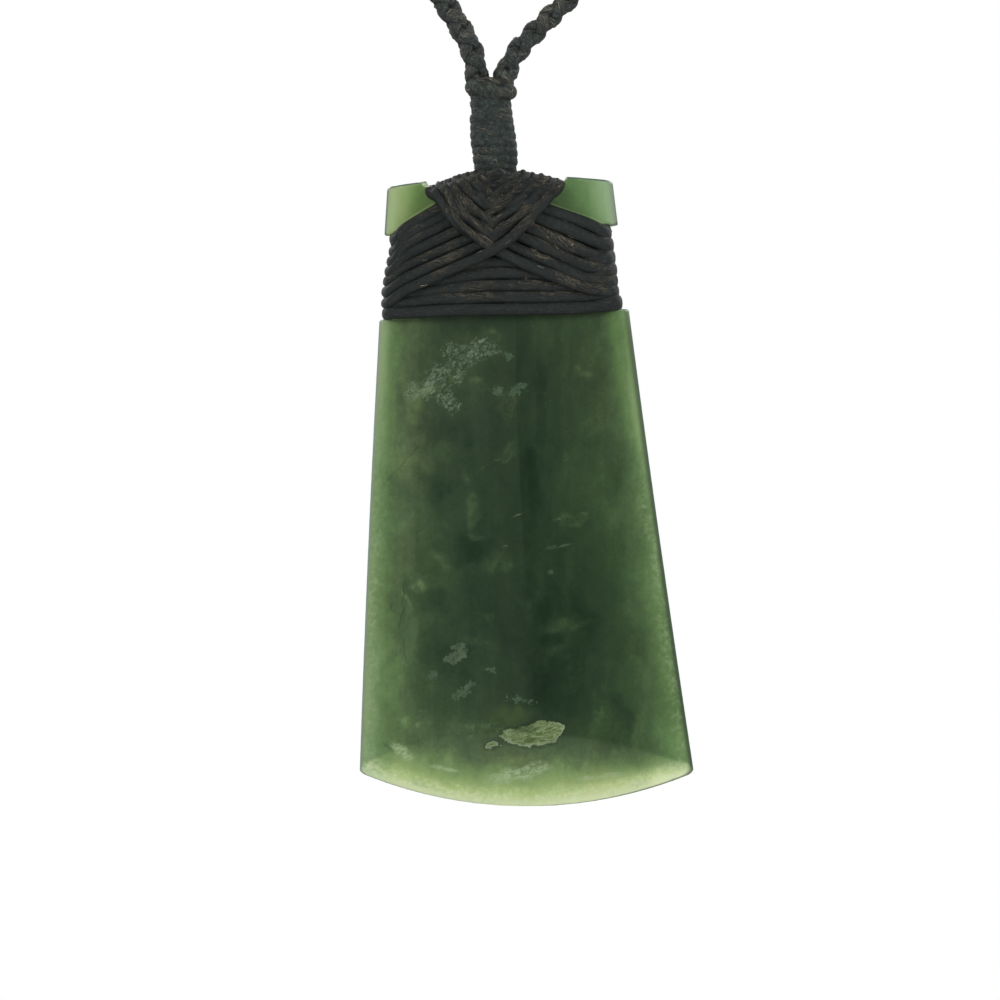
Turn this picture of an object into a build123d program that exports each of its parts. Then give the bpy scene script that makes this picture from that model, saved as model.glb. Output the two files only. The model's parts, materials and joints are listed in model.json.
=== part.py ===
from build123d import *
from math import cos, radians, sin, tan
import os

# A greenstone adze blade lashed to a braided neck cord.
# Millimetres, +Z up, the blade's face towards -Y.
# The origin is where the cord rests on the nape. The wearer's neck is in front of it.

# Where the pendant hangs, seen from the nape
chest_reach = 138.0        # from the nape forward to the pendant's middle plane
chest_drop = 215.0         # from the nape down to the point where the two braids part

# Gap between pieces that lie on each other
seat_gap = 0.1

# Blade, seen from the front
blade_length = 60.25       # from the middle of the poll to the lowest point of the cutting edge
blade_hang = 9.75          # from the parting of the braids down to the middle of the poll
poll_width = 21.5
poll_offset = 0.86         # the poll's middle stands this far right of the hanging line
poll_rise = 0.75           # the poll's arch above its two corners
poll_tilt = 1.6            # degrees, right corner higher
edge_width = 32.05         # between the two ends of the cutting edge
edge_offset = 3.43         # the cutting edge's middle stands this far right of the hanging line
edge_sweep = 3.3           # the cutting edge's arch below its two ends
left_bulge = 0.22          # the left side bows out by this much
right_hollow = 0.2         # the right side bows in by this much
poll_corner_round = 0.7
edge_corner_round = 1.1

# Blade, its thickness
belly_thickness = 6.2      # the thickest part, in the lower half
shoulder_thickness = 3.9   # at the line where the side bevels start
rim_thickness = 2.4        # at the sides, just under the poll
rim_bow = 0.35             # how far the rounded rim stands out past its own edges
edge_thickness = 0.6       # at the cutting edge
bevel_width = 4.0          # widest part of a side bevel
edge_bevel_angle = 21.0    # degrees, between the cutting-edge bevel and the middle plane

# Notches in the blade's sides, and the groove across its top
notch_top = 14.85          # below the parting of the braids, at the hanging line
notch_height = 8.1
notch_depth_top = 1.75
notch_depth_bottom = 1.35
notch_tilt = 2.5           # degrees, right notch higher
groove_width = 13.6
groove_offset = 0.4
groove_depth = 1.0
groove_wall = 0.5          # run of the groove's sloping side walls

# Lashing thread, and how many layers of it lie where
thread = 1.0
band_layers = 1.9          # on the middle of the blade's face
saddle_layers = 0.9        # of the saddle, on top of the band

# Band of threads in the notches
band_edge_round = 1.1      # how far in from its side the band starts to round over
band_shoulder_rise = 1.9   # height of the band's middle above its long upper corners

# Saddle of threads over the top of the blade
saddle_width = 12.5
saddle_drop = 8.2          # from its crest to the tip of its V
saddle_offset = 0.4
saddle_crest = 9.0         # below the parting of the braids
saddle_crown = 0.7         # the saddle is this much thinner at its sides

# Whipping and collar knot above the blade
whipping_diameter = 4.4
whipping_waist = 0.15      # the whipping is this much slimmer in radius at its top
whipping_lean = 4.0        # degrees, its foot to the right
whipping_offset = -0.14    # its top stands this far right of the hanging line
collar_width = 4.9
collar_depth = 3.8
collar_height = 2.1
collar_top = 0.35          # below the parting of the braids
collar_round = 0.8

# Braided cord, and the whipping that joins its ends at the nape
braid_diameter = 2.4
braid_spacing = 2.7        # between the two braids where they leave the collar knot
socket_depth = 0.65        # how far each braid goes into the collar knot
nape_run = 25.0            # half of the level stretch at the nape
nape_whipping_length = 13.0
nape_whipping_diameter = 4.2
nape_whipping_round = 0.8

# The braids' routes, chosen by hand from the collar knot up to the nape.
# X, Y and Z from the parting of the braids. Each route's two ends follow from the sizes above.
left_route = [
    (-1.33, 0.0, 1.3),
    (-2.66, 0.0, 4.3),
    (-6.25, 0.4, 9.8),
    (-13.3, 2.0, 20.0),
    (-25.5, 6.5, 38.5),
    (-42.0, 17.0, 71.0),
    (-55.0, 36.5, 111.0),
    (-62.5, 66.0, 151.0),
    (-60.0, 98.0, 183.0),
    (-46.0, 124.5, 204.5),
]
right_route = [
    (1.42, 0.0, 0.9),
    (3.25, 0.0, 3.3),
    (7.9, 0.4, 7.9),
    (16.6, 2.0, 17.0),
    (30.0, 6.5, 34.5),
    (45.5, 17.5, 68.0),
    (57.0, 37.0, 109.5),
    (63.0, 66.5, 150.5),
    (60.0, 98.5, 183.5),
    (46.0, 124.0, 205.0),
]

# Sections across the blade, from above the poll to below the cutting edge.
# Columns: place along the side, thickness at the middle (share of belly_thickness),
# at the shoulder lines (share of shoulder_thickness), at the rim (share of rim_thickness),
# left bevel and right bevel (shares of bevel_width).
blade_sections = [
    (-0.06, 0.70, 0.80, 1.00, 0.22, 0.20),
    (0.20, 0.86, 0.92, 0.92, 0.38, 0.24),
    (0.45, 0.96, 0.95, 0.83, 0.57, 0.46),
    (0.70, 1.00, 0.91, 0.71, 0.77, 0.80),
    (0.90, 0.98, 0.85, 0.60, 0.88, 1.00),
    (1.10, 0.93, 0.79, 0.50, 0.97, 1.05),
]

# Half of the saddle's V. Columns: half width (share of saddle_width), drop (share of saddle_drop).
saddle_outline = [
    (0.18, 0.00),
    (0.44, 0.09),
    (0.50, 0.17),
    (0.41, 0.44),
    (0.25, 0.75),
    (0.05, 0.96),
]

# Heights that follow from the sizes above, up from the parting of the braids
poll_z = -blade_hang
edge_z = poll_z - blade_length
ends_z = edge_z + edge_sweep
side_length = poll_z - ends_z
notch_places = [(poll_z + notch_top + drop) / side_length for drop in (0, notch_height)]


def blade_side(sign, place):
    """X of the blade's left (-1) or right (+1) side at a place along it."""
    top = poll_offset + sign * poll_width / 2
    bottom = edge_offset + sign * edge_width / 2
    bow = left_bulge if sign < 0 else right_hollow
    return top + (bottom - top) * place - bow * 4 * place * (1 - place)


def at_place(place):
    """Z at a place along the blade's side."""
    return poll_z - side_length * place


def tilted(z, x, tilt):
    """Z of a line through z at the hanging line, tilted by some degrees."""
    return z + x * tan(radians(tilt))


def polygon(points):
    return make_face(Polyline(points, close=True))


def front_prism(face, half_depth):
    """A face drawn in X and Z, thickened both ways along Y."""
    return extrude(Plane.XZ * face, amount=half_depth, both=True)


def lens(z, left, right, shoulders, middle, shoulder, rim, bow):
    """A section across a flat form: crowned faces, sloping sides and bowed rims."""
    x1, x2 = shoulders
    centre = (x1 + x2) / 2
    curve = Curve() + [
        Line((left + bow, -rim), (x1, -shoulder)),
        ThreePointArc((x1, -shoulder), (centre, -middle), (x2, -shoulder)),
        Line((x2, -shoulder), (right - bow, -rim)),
        ThreePointArc((right - bow, -rim), (right, 0), (right - bow, rim)),
        Line((right - bow, rim), (x2, shoulder)),
        ThreePointArc((x2, shoulder), (centre, middle), (x1, shoulder)),
        Line((x1, shoulder), (left + bow, rim)),
        ThreePointArc((left + bow, rim), (left, 0), (left + bow, -rim)),
    ]
    return Pos(0, 0, z) * make_face(curve)


def blade_bulk(grow):
    """The blade's crowned and bevelled faces and its rounded sides, before the cuts."""
    faces = []
    for place, middle, shoulder, rim, left_bevel, right_bevel in blade_sections:
        left = blade_side(-1, place)
        right = blade_side(1, place)
        faces.append(lens(
            at_place(place),
            left - grow,
            right + grow,
            (left + left_bevel * bevel_width, right - right_bevel * bevel_width),
            middle * belly_thickness / 2 + grow,
            shoulder * shoulder_thickness / 2 + grow,
            rim * rim_thickness / 2 + grow,
            rim_bow,
        ))
    return loft(faces)


def notch_inner(sign, end):
    """X of a notch's bottom at its upper end (0) or its lower end (1)."""
    depth = (notch_depth_top, notch_depth_bottom)[end]
    return blade_side(sign, notch_places[end]) - sign * depth


def notch_face(sign, grow):
    """One side notch, a slanted box from inside the side out past it."""
    far = sign * edge_width
    near_top = notch_inner(sign, 0) + sign * grow
    near_bottom = notch_inner(sign, 1) + sign * grow
    top = -notch_top - grow
    bottom = -notch_top - notch_height + grow
    return polygon([
        (near_top, tilted(top, near_top, notch_tilt)),
        (far, tilted(top, far, notch_tilt)),
        (far, tilted(bottom, far, notch_tilt)),
        (near_bottom, tilted(bottom, near_bottom, notch_tilt)),
    ])


def groove_face(grow):
    """The shallow groove across the poll that the saddle of threads lies in."""
    floor = poll_z - groove_depth + grow
    lip = poll_z + blade_hang / 2
    half_floor = groove_width / 2 - groove_wall - grow
    half_lip = half_floor + groove_wall * (lip - floor) / groove_depth
    return Pos(groove_offset, 0) * polygon([
        (-half_floor, floor),
        (half_floor, floor),
        (half_lip, lip),
        (-half_lip, lip),
    ])


def blade_outline(grow):
    """The blade's top and bottom arches with their rounded corners, a little wide at the sides."""
    side = rim_bow / 2 + grow
    corner_z = poll_z - poll_rise + grow
    left_top = blade_side(-1, 0) - side
    right_top = blade_side(1, 0) + side
    top_left = (left_top, tilted(corner_z, left_top, poll_tilt))
    top_right = (right_top, tilted(corner_z, right_top, poll_tilt))
    end_left = (blade_side(-1, 1) - side, ends_z - grow)
    end_right = (blade_side(1, 1) + side, ends_z - grow)
    mid_right = (blade_side(1, 0.5) + side, at_place(0.5))
    mid_left = (blade_side(-1, 0.5) - side, at_place(0.5))
    face = make_face(Curve() + [
        ThreePointArc(top_left, (poll_offset, poll_z + grow), top_right),
        ThreePointArc(top_right, mid_right, end_right),
        ThreePointArc(end_right, (edge_offset, edge_z - grow), end_left),
        ThreePointArc(end_left, mid_left, top_left),
    ])
    face = fillet(face.vertices().sort_by(Axis.Y)[2:], poll_corner_round)
    face = fillet(face.vertices().sort_by(Axis.Y)[:2], edge_corner_round)
    return face - notch_face(-1, grow) - notch_face(1, grow) - groove_face(grow)


def edge_bevels(grow):
    """Two cones back to back that cut the bevels of the curved cutting edge."""
    radius = ((edge_width / 2)**2 + edge_sweep**2) / (2 * edge_sweep)
    rim = edge_thickness / 2 + grow
    outer = radius + edge_thickness + grow
    slope = tan(radians(edge_bevel_angle))
    profile = polygon([
        (0, -rim - radius * slope),
        (outer, -rim + (outer - radius) * slope),
        (outer, rim - (outer - radius) * slope),
        (0, rim + radius * slope),
    ])
    return Pos(edge_offset, 0, edge_z + radius) * revolve(profile, axis=Axis.Y)


def blade_form(grow):
    """The blade, or with grow the space that it needs with that gap all round."""
    outline = front_prism(blade_outline(grow), belly_thickness)
    return blade_bulk(grow) & outline & edge_bevels(grow)


def band_side(sign, end):
    """X of the band's side at the notch's upper end (0) or lower end (1)."""
    return notch_inner(sign, end) + sign * (seat_gap + thread)


def band_bulk(grow):
    """The lashing's swelling outer form, before its ends are cut."""
    faces = []
    reach = notch_height / 2
    top_z = -notch_top
    bottom_z = -notch_top - notch_height
    for z, share in ((top_z + reach, -0.5), (top_z, 0), (bottom_z, 1), (bottom_z - reach, 1.5)):
        sides = [
            band_side(sign, 0) + (band_side(sign, 1) - band_side(sign, 0)) * share
            for sign in (-1, 1)
        ]
        shoulder = rim_thickness / 2 + seat_gap + thread * 1.5
        middle = blade_sections[1][1] * belly_thickness / 2 + seat_gap + thread * band_layers
        faces.append(lens(
            z,
            sides[0] - grow,
            sides[1] + grow,
            (sides[0] + band_edge_round * 2, sides[1] - band_edge_round * 2),
            middle + grow,
            shoulder + thread / 2 + grow,
            shoulder - thread / 2 + grow,
            band_edge_round,
        ))
    return loft(faces)


def band_outline(grow):
    """The lashing from the front: level below, rising to its middle above."""
    top = -notch_top - seat_gap + grow
    bottom = -notch_top - notch_height + seat_gap - grow
    far = edge_width / 2
    half_saddle = saddle_width * saddle_outline[3][0]
    corners = (-far, saddle_offset - half_saddle, saddle_offset + half_saddle, far)
    rises = (0, band_shoulder_rise, band_shoulder_rise, 0)
    upper = [(x, tilted(top, x, notch_tilt) + rise) for x, rise in zip(corners, rises)]
    return polygon([
        (-far, tilted(bottom, -far, notch_tilt)),
        *upper,
        (far, tilted(bottom, far, notch_tilt)),
    ])


def band_form(grow):
    return band_bulk(grow) & front_prism(band_outline(grow), belly_thickness * 2)


def shoulder_lashing():
    """The band of thread in the notches, round the blade and clear of it by the gap."""
    return band_form(0) - blade_form(seat_gap)


def saddle_lashing():
    """The V of thread that runs down the front, over the top groove and down the back."""
    half = [
        (saddle_width * width, -saddle_crest - saddle_drop * drop)
        for width, drop in saddle_outline
    ]
    mirrored = [(-x, z) for x, z in reversed(half)]
    outline = Pos(saddle_offset, 0) * polygon(half + mirrored)

    crest = -saddle_crest
    poll_half = blade_sections[0][1] * belly_thickness / 2 + seat_gap + thread * 2
    belly = blade_sections[1][1] * belly_thickness / 2 + thread * (band_layers + saddle_layers)
    belly_z = crest - saddle_drop * saddle_outline[4][1]
    tip_z = crest - saddle_drop - thread
    spring_z = poll_z - groove_depth - thread / 2
    profile = make_face(Curve() + [
        ThreePointArc((-poll_half, spring_z), (0, crest), (poll_half, spring_z)),
        Line((poll_half, spring_z), (belly, belly_z)),
        Line((belly, belly_z), (belly - thread / 2, tip_z)),
        Line((belly - thread / 2, tip_z), (-belly + thread / 2, tip_z)),
        Line((-belly + thread / 2, tip_z), (-belly, belly_z)),
        Line((-belly, belly_z), (-poll_half, spring_z)),
    ])
    side_view = extrude(Plane.YZ * profile, amount=saddle_width, both=True)

    wide = saddle_width / 2
    top_view = make_face(Curve() + [
        ThreePointArc((-wide, -belly + saddle_crown), (0, -belly), (wide, -belly + saddle_crown)),
        Line((wide, -belly + saddle_crown), (wide, belly - saddle_crown)),
        ThreePointArc((wide, belly - saddle_crown), (0, belly), (-wide, belly - saddle_crown)),
        Line((-wide, belly - saddle_crown), (-wide, -belly + saddle_crown)),
    ])
    crown = Pos(saddle_offset, 0, tip_z) * extrude(top_view, amount=saddle_drop * 2)
    solid = front_prism(outline, belly * 2) & side_view & crown
    return solid - blade_form(seat_gap) - band_form(seat_gap)


def neck_whipping():
    """A slightly waisted barrel between the collar knot and the saddle, leaning a little."""
    radius = whipping_diameter / 2
    lean = radians(whipping_lean)
    tip = radius * sin(lean)
    top = -collar_top - collar_height - seat_gap - tip
    length = (top + saddle_crest - seat_gap - tip) / cos(lean)
    profile = make_face(Plane.XZ * (Curve() + [
        Line((0, 0), (radius - whipping_waist, 0)),
        ThreePointArc((radius - whipping_waist, 0), (radius, -length * 0.6), (radius, -length)),
        Line((radius, -length), (0, -length)),
        Line((0, -length), (0, 0)),
    ]))
    barrel = revolve(profile, axis=Axis.Z)
    return Pos(whipping_offset, 0, top) * Rot(0, -whipping_lean, 0) * barrel


def collar_knot():
    """A rounded puck with a socket for each braid."""
    face = Ellipse(collar_width / 2, collar_depth / 2)
    puck = extrude(face, amount=-collar_height)
    puck = fillet(puck.edges(), collar_round)
    puck = Pos(0, 0, -collar_top) * puck
    floor = -collar_top - socket_depth - seat_gap
    for sign in (-1, 1):
        socket = extrude(Circle(braid_diameter / 2 + seat_gap), amount=collar_height)
        puck -= Pos(sign * braid_spacing / 2, 0, floor) * socket
    return puck


def whole_route(middle, sign):
    """A braid's route from its socket to the nape whipping."""
    start = (sign * braid_spacing / 2, 0, -collar_top - socket_depth)
    level = (sign * nape_run, chest_reach, chest_drop)
    end = (sign * (nape_whipping_length / 2 + seat_gap), chest_reach, chest_drop)
    return [Vector(point) for point in (start, *middle, level, end)]


def corner_radii(points):
    """The largest arcs that leave a tenth of each run straight."""
    radii = []
    for before, here, after in zip(points, points[1:], points[2:]):
        first = here - before
        second = after - here
        half_turn = radians(first.get_angle(second)) / 2
        radii.append(0.45 * min(first.length, second.length) / tan(half_turn))
    return radii


def braid(name, middle, sign):
    """A plain tube along a braid's route."""
    points = whole_route(middle, sign)
    radii = corner_radii(points)
    path = FilletPolyline(points, radius=radii)
    section = Plane(origin=path @ 0, z_dir=path % 0) * Circle(braid_diameter / 2)
    tube = sweep(section, path=path)
    print(name, "length", round(path.length, 1), "radii", [round(radius, 1) for radius in radii])
    print(name, "volume over section times length", round(tube.volume / section.area / path.length, 4))
    return tube


def nape_whipping():
    """The whipped barrel that joins the two braids behind the neck."""
    barrel = extrude(
        Plane.YZ * Circle(nape_whipping_diameter / 2),
        amount=nape_whipping_length / 2,
        both=True,
    )
    barrel = fillet(barrel.edges().filter_by(GeomType.CIRCLE), nape_whipping_round)
    return Pos(0, chest_reach, chest_drop) * barrel


def main():
    os.makedirs("parts", exist_ok=True)
    nodes = {
        "toki_blade": blade_form(0),
        "shoulder_lashing": shoulder_lashing(),
        "saddle_lashing": saddle_lashing(),
        "neck_whipping": neck_whipping(),
        "collar_knot": collar_knot(),
        "braid_left": braid("braid_left", left_route, -1),
        "braid_right": braid("braid_right", right_route, 1),
        "nape_whipping": nape_whipping(),
    }
    for name, solid in nodes.items():
        placed = Pos(0, -chest_reach, -chest_drop) * solid
        export_step(placed, f"parts/{name}.step")


main()
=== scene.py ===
import json
import math
import random

import bpy
import numpy as np
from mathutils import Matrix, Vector, noise
from mathutils.bvhtree import BVHTree

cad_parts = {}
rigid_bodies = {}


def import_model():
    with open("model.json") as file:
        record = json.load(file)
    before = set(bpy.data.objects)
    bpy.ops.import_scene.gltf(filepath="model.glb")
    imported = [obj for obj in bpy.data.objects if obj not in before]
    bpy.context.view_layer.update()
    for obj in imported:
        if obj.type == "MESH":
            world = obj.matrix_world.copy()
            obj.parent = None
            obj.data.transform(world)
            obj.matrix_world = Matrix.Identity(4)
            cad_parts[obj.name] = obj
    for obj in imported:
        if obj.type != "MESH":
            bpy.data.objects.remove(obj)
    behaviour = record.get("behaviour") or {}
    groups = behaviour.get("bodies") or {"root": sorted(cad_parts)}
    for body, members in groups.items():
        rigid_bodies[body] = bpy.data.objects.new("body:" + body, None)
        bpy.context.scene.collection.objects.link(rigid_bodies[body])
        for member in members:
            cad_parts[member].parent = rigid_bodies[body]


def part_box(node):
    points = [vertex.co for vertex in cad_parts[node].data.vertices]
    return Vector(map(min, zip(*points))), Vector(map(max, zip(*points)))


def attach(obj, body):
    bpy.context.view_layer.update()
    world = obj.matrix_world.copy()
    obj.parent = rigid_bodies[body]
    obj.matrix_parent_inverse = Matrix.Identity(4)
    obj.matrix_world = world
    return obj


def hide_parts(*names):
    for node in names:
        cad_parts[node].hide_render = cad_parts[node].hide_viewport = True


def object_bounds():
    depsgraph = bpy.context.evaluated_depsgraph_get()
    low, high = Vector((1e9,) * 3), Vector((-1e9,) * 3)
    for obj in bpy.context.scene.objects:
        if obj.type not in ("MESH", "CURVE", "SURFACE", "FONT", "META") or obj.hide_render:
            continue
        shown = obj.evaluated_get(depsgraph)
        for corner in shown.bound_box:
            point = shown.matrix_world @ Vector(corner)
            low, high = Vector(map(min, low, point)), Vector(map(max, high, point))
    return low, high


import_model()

cad_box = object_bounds()
random.seed(7)
np.random.seed(7)
noise.seed_set(3)
MM = 0.001

# The photograph's scale, and the pixel at which the two braids part
PIXELS_PER_MM = 10.43
PARTING_PIXEL = (491.0, 76.0)
IMAGE_SIZE = 1000

# The same place in the frame, from the knot's box
COLLAR_TOP = 0.35
knot_low, knot_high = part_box("collar_knot")
PARTING = Vector((0, (knot_low[1] + knot_high[1]) / 2, knot_high[2] + COLLAR_TOP * MM))


def local(pixel_x, pixel_y):
    """X and Z in millimetres from the parting of the braids, for a pixel of the photograph."""
    return (
        (pixel_x - PARTING_PIXEL[0]) / PIXELS_PER_MM,
        (PARTING_PIXEL[1] - pixel_y) / PIXELS_PER_MM,
    )


def world(points):
    """Millimetres from the parting of the braids to metres in the frame."""
    return np.asarray(points, float) * MM + np.array(PARTING)


def from_world(points):
    """Metres in the frame to millimetres from the parting of the braids."""
    return (points - np.array(PARTING)) / MM


def linked(name, data):
    """A new object of the scene."""
    thing = bpy.data.objects.new(name, data)
    bpy.context.scene.collection.objects.link(thing)
    return thing


# Camera

LENS = 135.0
SENSOR = 36.0


def make_camera():
    data = bpy.data.cameras.new("camera")
    data.lens = LENS
    data.sensor_width = SENSOR
    data.clip_start = 0.01
    data.clip_end = 20
    camera = linked("camera", data)
    x, z = local(IMAGE_SIZE / 2, IMAGE_SIZE / 2)
    distance = LENS / SENSOR * IMAGE_SIZE / PIXELS_PER_MM
    camera.location = world([(x, -distance, z)])[0]
    camera.rotation_euler = (math.radians(90), 0, 0)
    bpy.context.scene.camera = camera


make_camera()


# The braids' routes, millimetres from the parting, as in the part's source

COLLAR_SOCKET = 0.65
NAPE = tuple((-PARTING / MM)[i] for i in range(3))
NAPE_RUN = 25.0
NAPE_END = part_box("nape_whipping")[1][0] / MM + 0.1
BRAID_SPACING = 2.7
LEFT_ROUTE = [
    (-1.33, 0.0, 1.3),
    (-2.66, 0.0, 4.3),
    (-6.25, 0.4, 9.8),
    (-13.3, 2.0, 20.0),
    (-25.5, 6.5, 38.5),
    (-42.0, 17.0, 71.0),
    (-55.0, 36.5, 111.0),
    (-62.5, 66.0, 151.0),
    (-60.0, 98.0, 183.0),
    (-46.0, 124.5, 204.5),
]
RIGHT_ROUTE = [
    (1.42, 0.0, 0.9),
    (3.25, 0.0, 3.3),
    (7.9, 0.4, 7.9),
    (16.6, 2.0, 17.0),
    (30.0, 6.5, 34.5),
    (45.5, 17.5, 68.0),
    (57.0, 37.0, 109.5),
    (63.0, 66.5, 150.5),
    (60.0, 98.5, 183.5),
    (46.0, 124.0, 205.0),
]


def whole_route(middle, sign):
    start = (sign * BRAID_SPACING / 2, 0, -COLLAR_TOP - COLLAR_SOCKET)
    level = (sign * NAPE_RUN, NAPE[1], NAPE[2])
    end = (sign * NAPE_END, NAPE[1], NAPE[2])
    return [start, *middle, level, end]


def route_line(name, points):
    """The points along the smooth NURBS line of a route, in metres."""
    curve = bpy.data.curves.new(name, "CURVE")
    curve.dimensions = "3D"
    curve.resolution_u = 32
    spline = curve.splines.new("NURBS")
    spline.points.add(len(points) - 1)
    for point, place in zip(spline.points, world(points)):
        point.co = (*place, 1)
    spline.order_u = 3
    spline.use_endpoint_u = True
    holder = linked(name, curve)
    mesh = bpy.data.meshes.new_from_object(holder)
    line = np.array([vertex.co for vertex in mesh.vertices])
    bpy.data.objects.remove(holder)
    bpy.data.meshes.remove(mesh)
    return line


# Lines and sweeps

def run_along(line):
    """How far along a line each of its points is."""
    spans = np.linalg.norm(np.diff(line, axis=0), axis=1)
    return np.concatenate([[0], np.cumsum(spans)])


def unit(vectors):
    return vectors / np.linalg.norm(vectors, axis=1)[:, None]


def round_angles(count):
    return np.arange(count) * 2 * math.pi / count


def resample(points, step, closed=False):
    """Points evenly spaced along a line."""
    points = np.asarray(points, float)
    if closed:
        points = np.vstack([points, points[:1]])
    along = run_along(points)
    count = max(4, int(round(along[-1] / step)))
    places = np.linspace(0, along[-1], count + 1)
    if closed:
        places = places[:-1]
    return np.stack([np.interp(places, along, points[:, axis]) for axis in range(3)], axis=1)


def through(points, step, closed=False):
    """A smooth line through a few points (Catmull-Rom), evenly spaced."""
    points = np.asarray(points, float)
    count = len(points)
    if closed:
        around = [points[(i + k) % count] for i in range(count) for k in (-1, 0, 1, 2)]
    else:
        ends = np.vstack([2 * points[0] - points[1], points, 2 * points[-1] - points[-2]])
        around = [ends[i + k] for i in range(count - 1) for k in (0, 1, 2, 3)]
    spans = np.array(around).reshape(-1, 4, 3)
    t = np.linspace(0, 1, 12, endpoint=False)[:, None]
    line = []
    for p0, p1, p2, p3 in spans:
        line.append(0.5 * (
            2 * p1
            + (p2 - p0) * t
            + (2 * p0 - 5 * p1 + 4 * p2 - p3) * t**2
            + (3 * p1 - p0 - 3 * p2 + p3) * t**3
        ))
    line = np.vstack(line)
    if not closed:
        line = np.vstack([line, points[-1:]])
    return resample(line, step, closed)


def soften(line, rounds):
    """A closed line, smoothed so many times."""
    for _ in range(rounds):
        line = (np.roll(line, 1, 0) + 2 * line + np.roll(line, -1, 0)) / 4
    return line


def frames_along(line, closed):
    """Tangents and two normals that don't twist, at each point of a line."""
    if closed:
        tangents = unit(np.roll(line, -1, 0) - np.roll(line, 1, 0))
    else:
        tangents = unit(np.gradient(line, axis=0))
    normal = np.array((0.0, 1.0, 0.0))
    if abs(normal @ tangents[0]) > 0.9:
        normal = np.array((1.0, 0.0, 0.0))
    normals = []
    for tangent in tangents:
        normal = normal - tangent * (normal @ tangent)
        normal /= np.linalg.norm(normal)
        normals.append(normal)
    normals = np.array(normals)
    sides = np.cross(tangents, normals)
    if closed:
        last = normals[-1] - tangents[0] * (normals[-1] @ tangents[0])
        miss = math.atan2(last @ sides[0], last @ normals[0])
        turn = -miss * np.arange(len(line)) / len(line)
        cos, sin = np.cos(turn)[:, None], np.sin(turn)[:, None]
        normals, sides = normals * cos + sides * sin, sides * cos - normals * sin
    return tangents, normals, sides


def smoothstep(value, low, high):
    t = np.clip((value - low) / (high - low), 0.0, 1.0)
    return t * t * (3 - 2 * t)


# A strand's plies, and the relief from which painted shade starts in the grooves between them,
# where it is full, and how much
PLIES = 3
GROOVE_RELIEF = (0.03, 0.08)
GROOVE_SHADE = 0.55

# Below this length, what is left of a wanted direction is too short to turn a strand's section to
LEAST_OUT = 0.15

# Loose fibres: their lift, curl and radius in millimetres
HAIR_LIFT = 0.05
HAIR_CURL = 0.035
HAIR_RADIUS = 0.033


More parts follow.
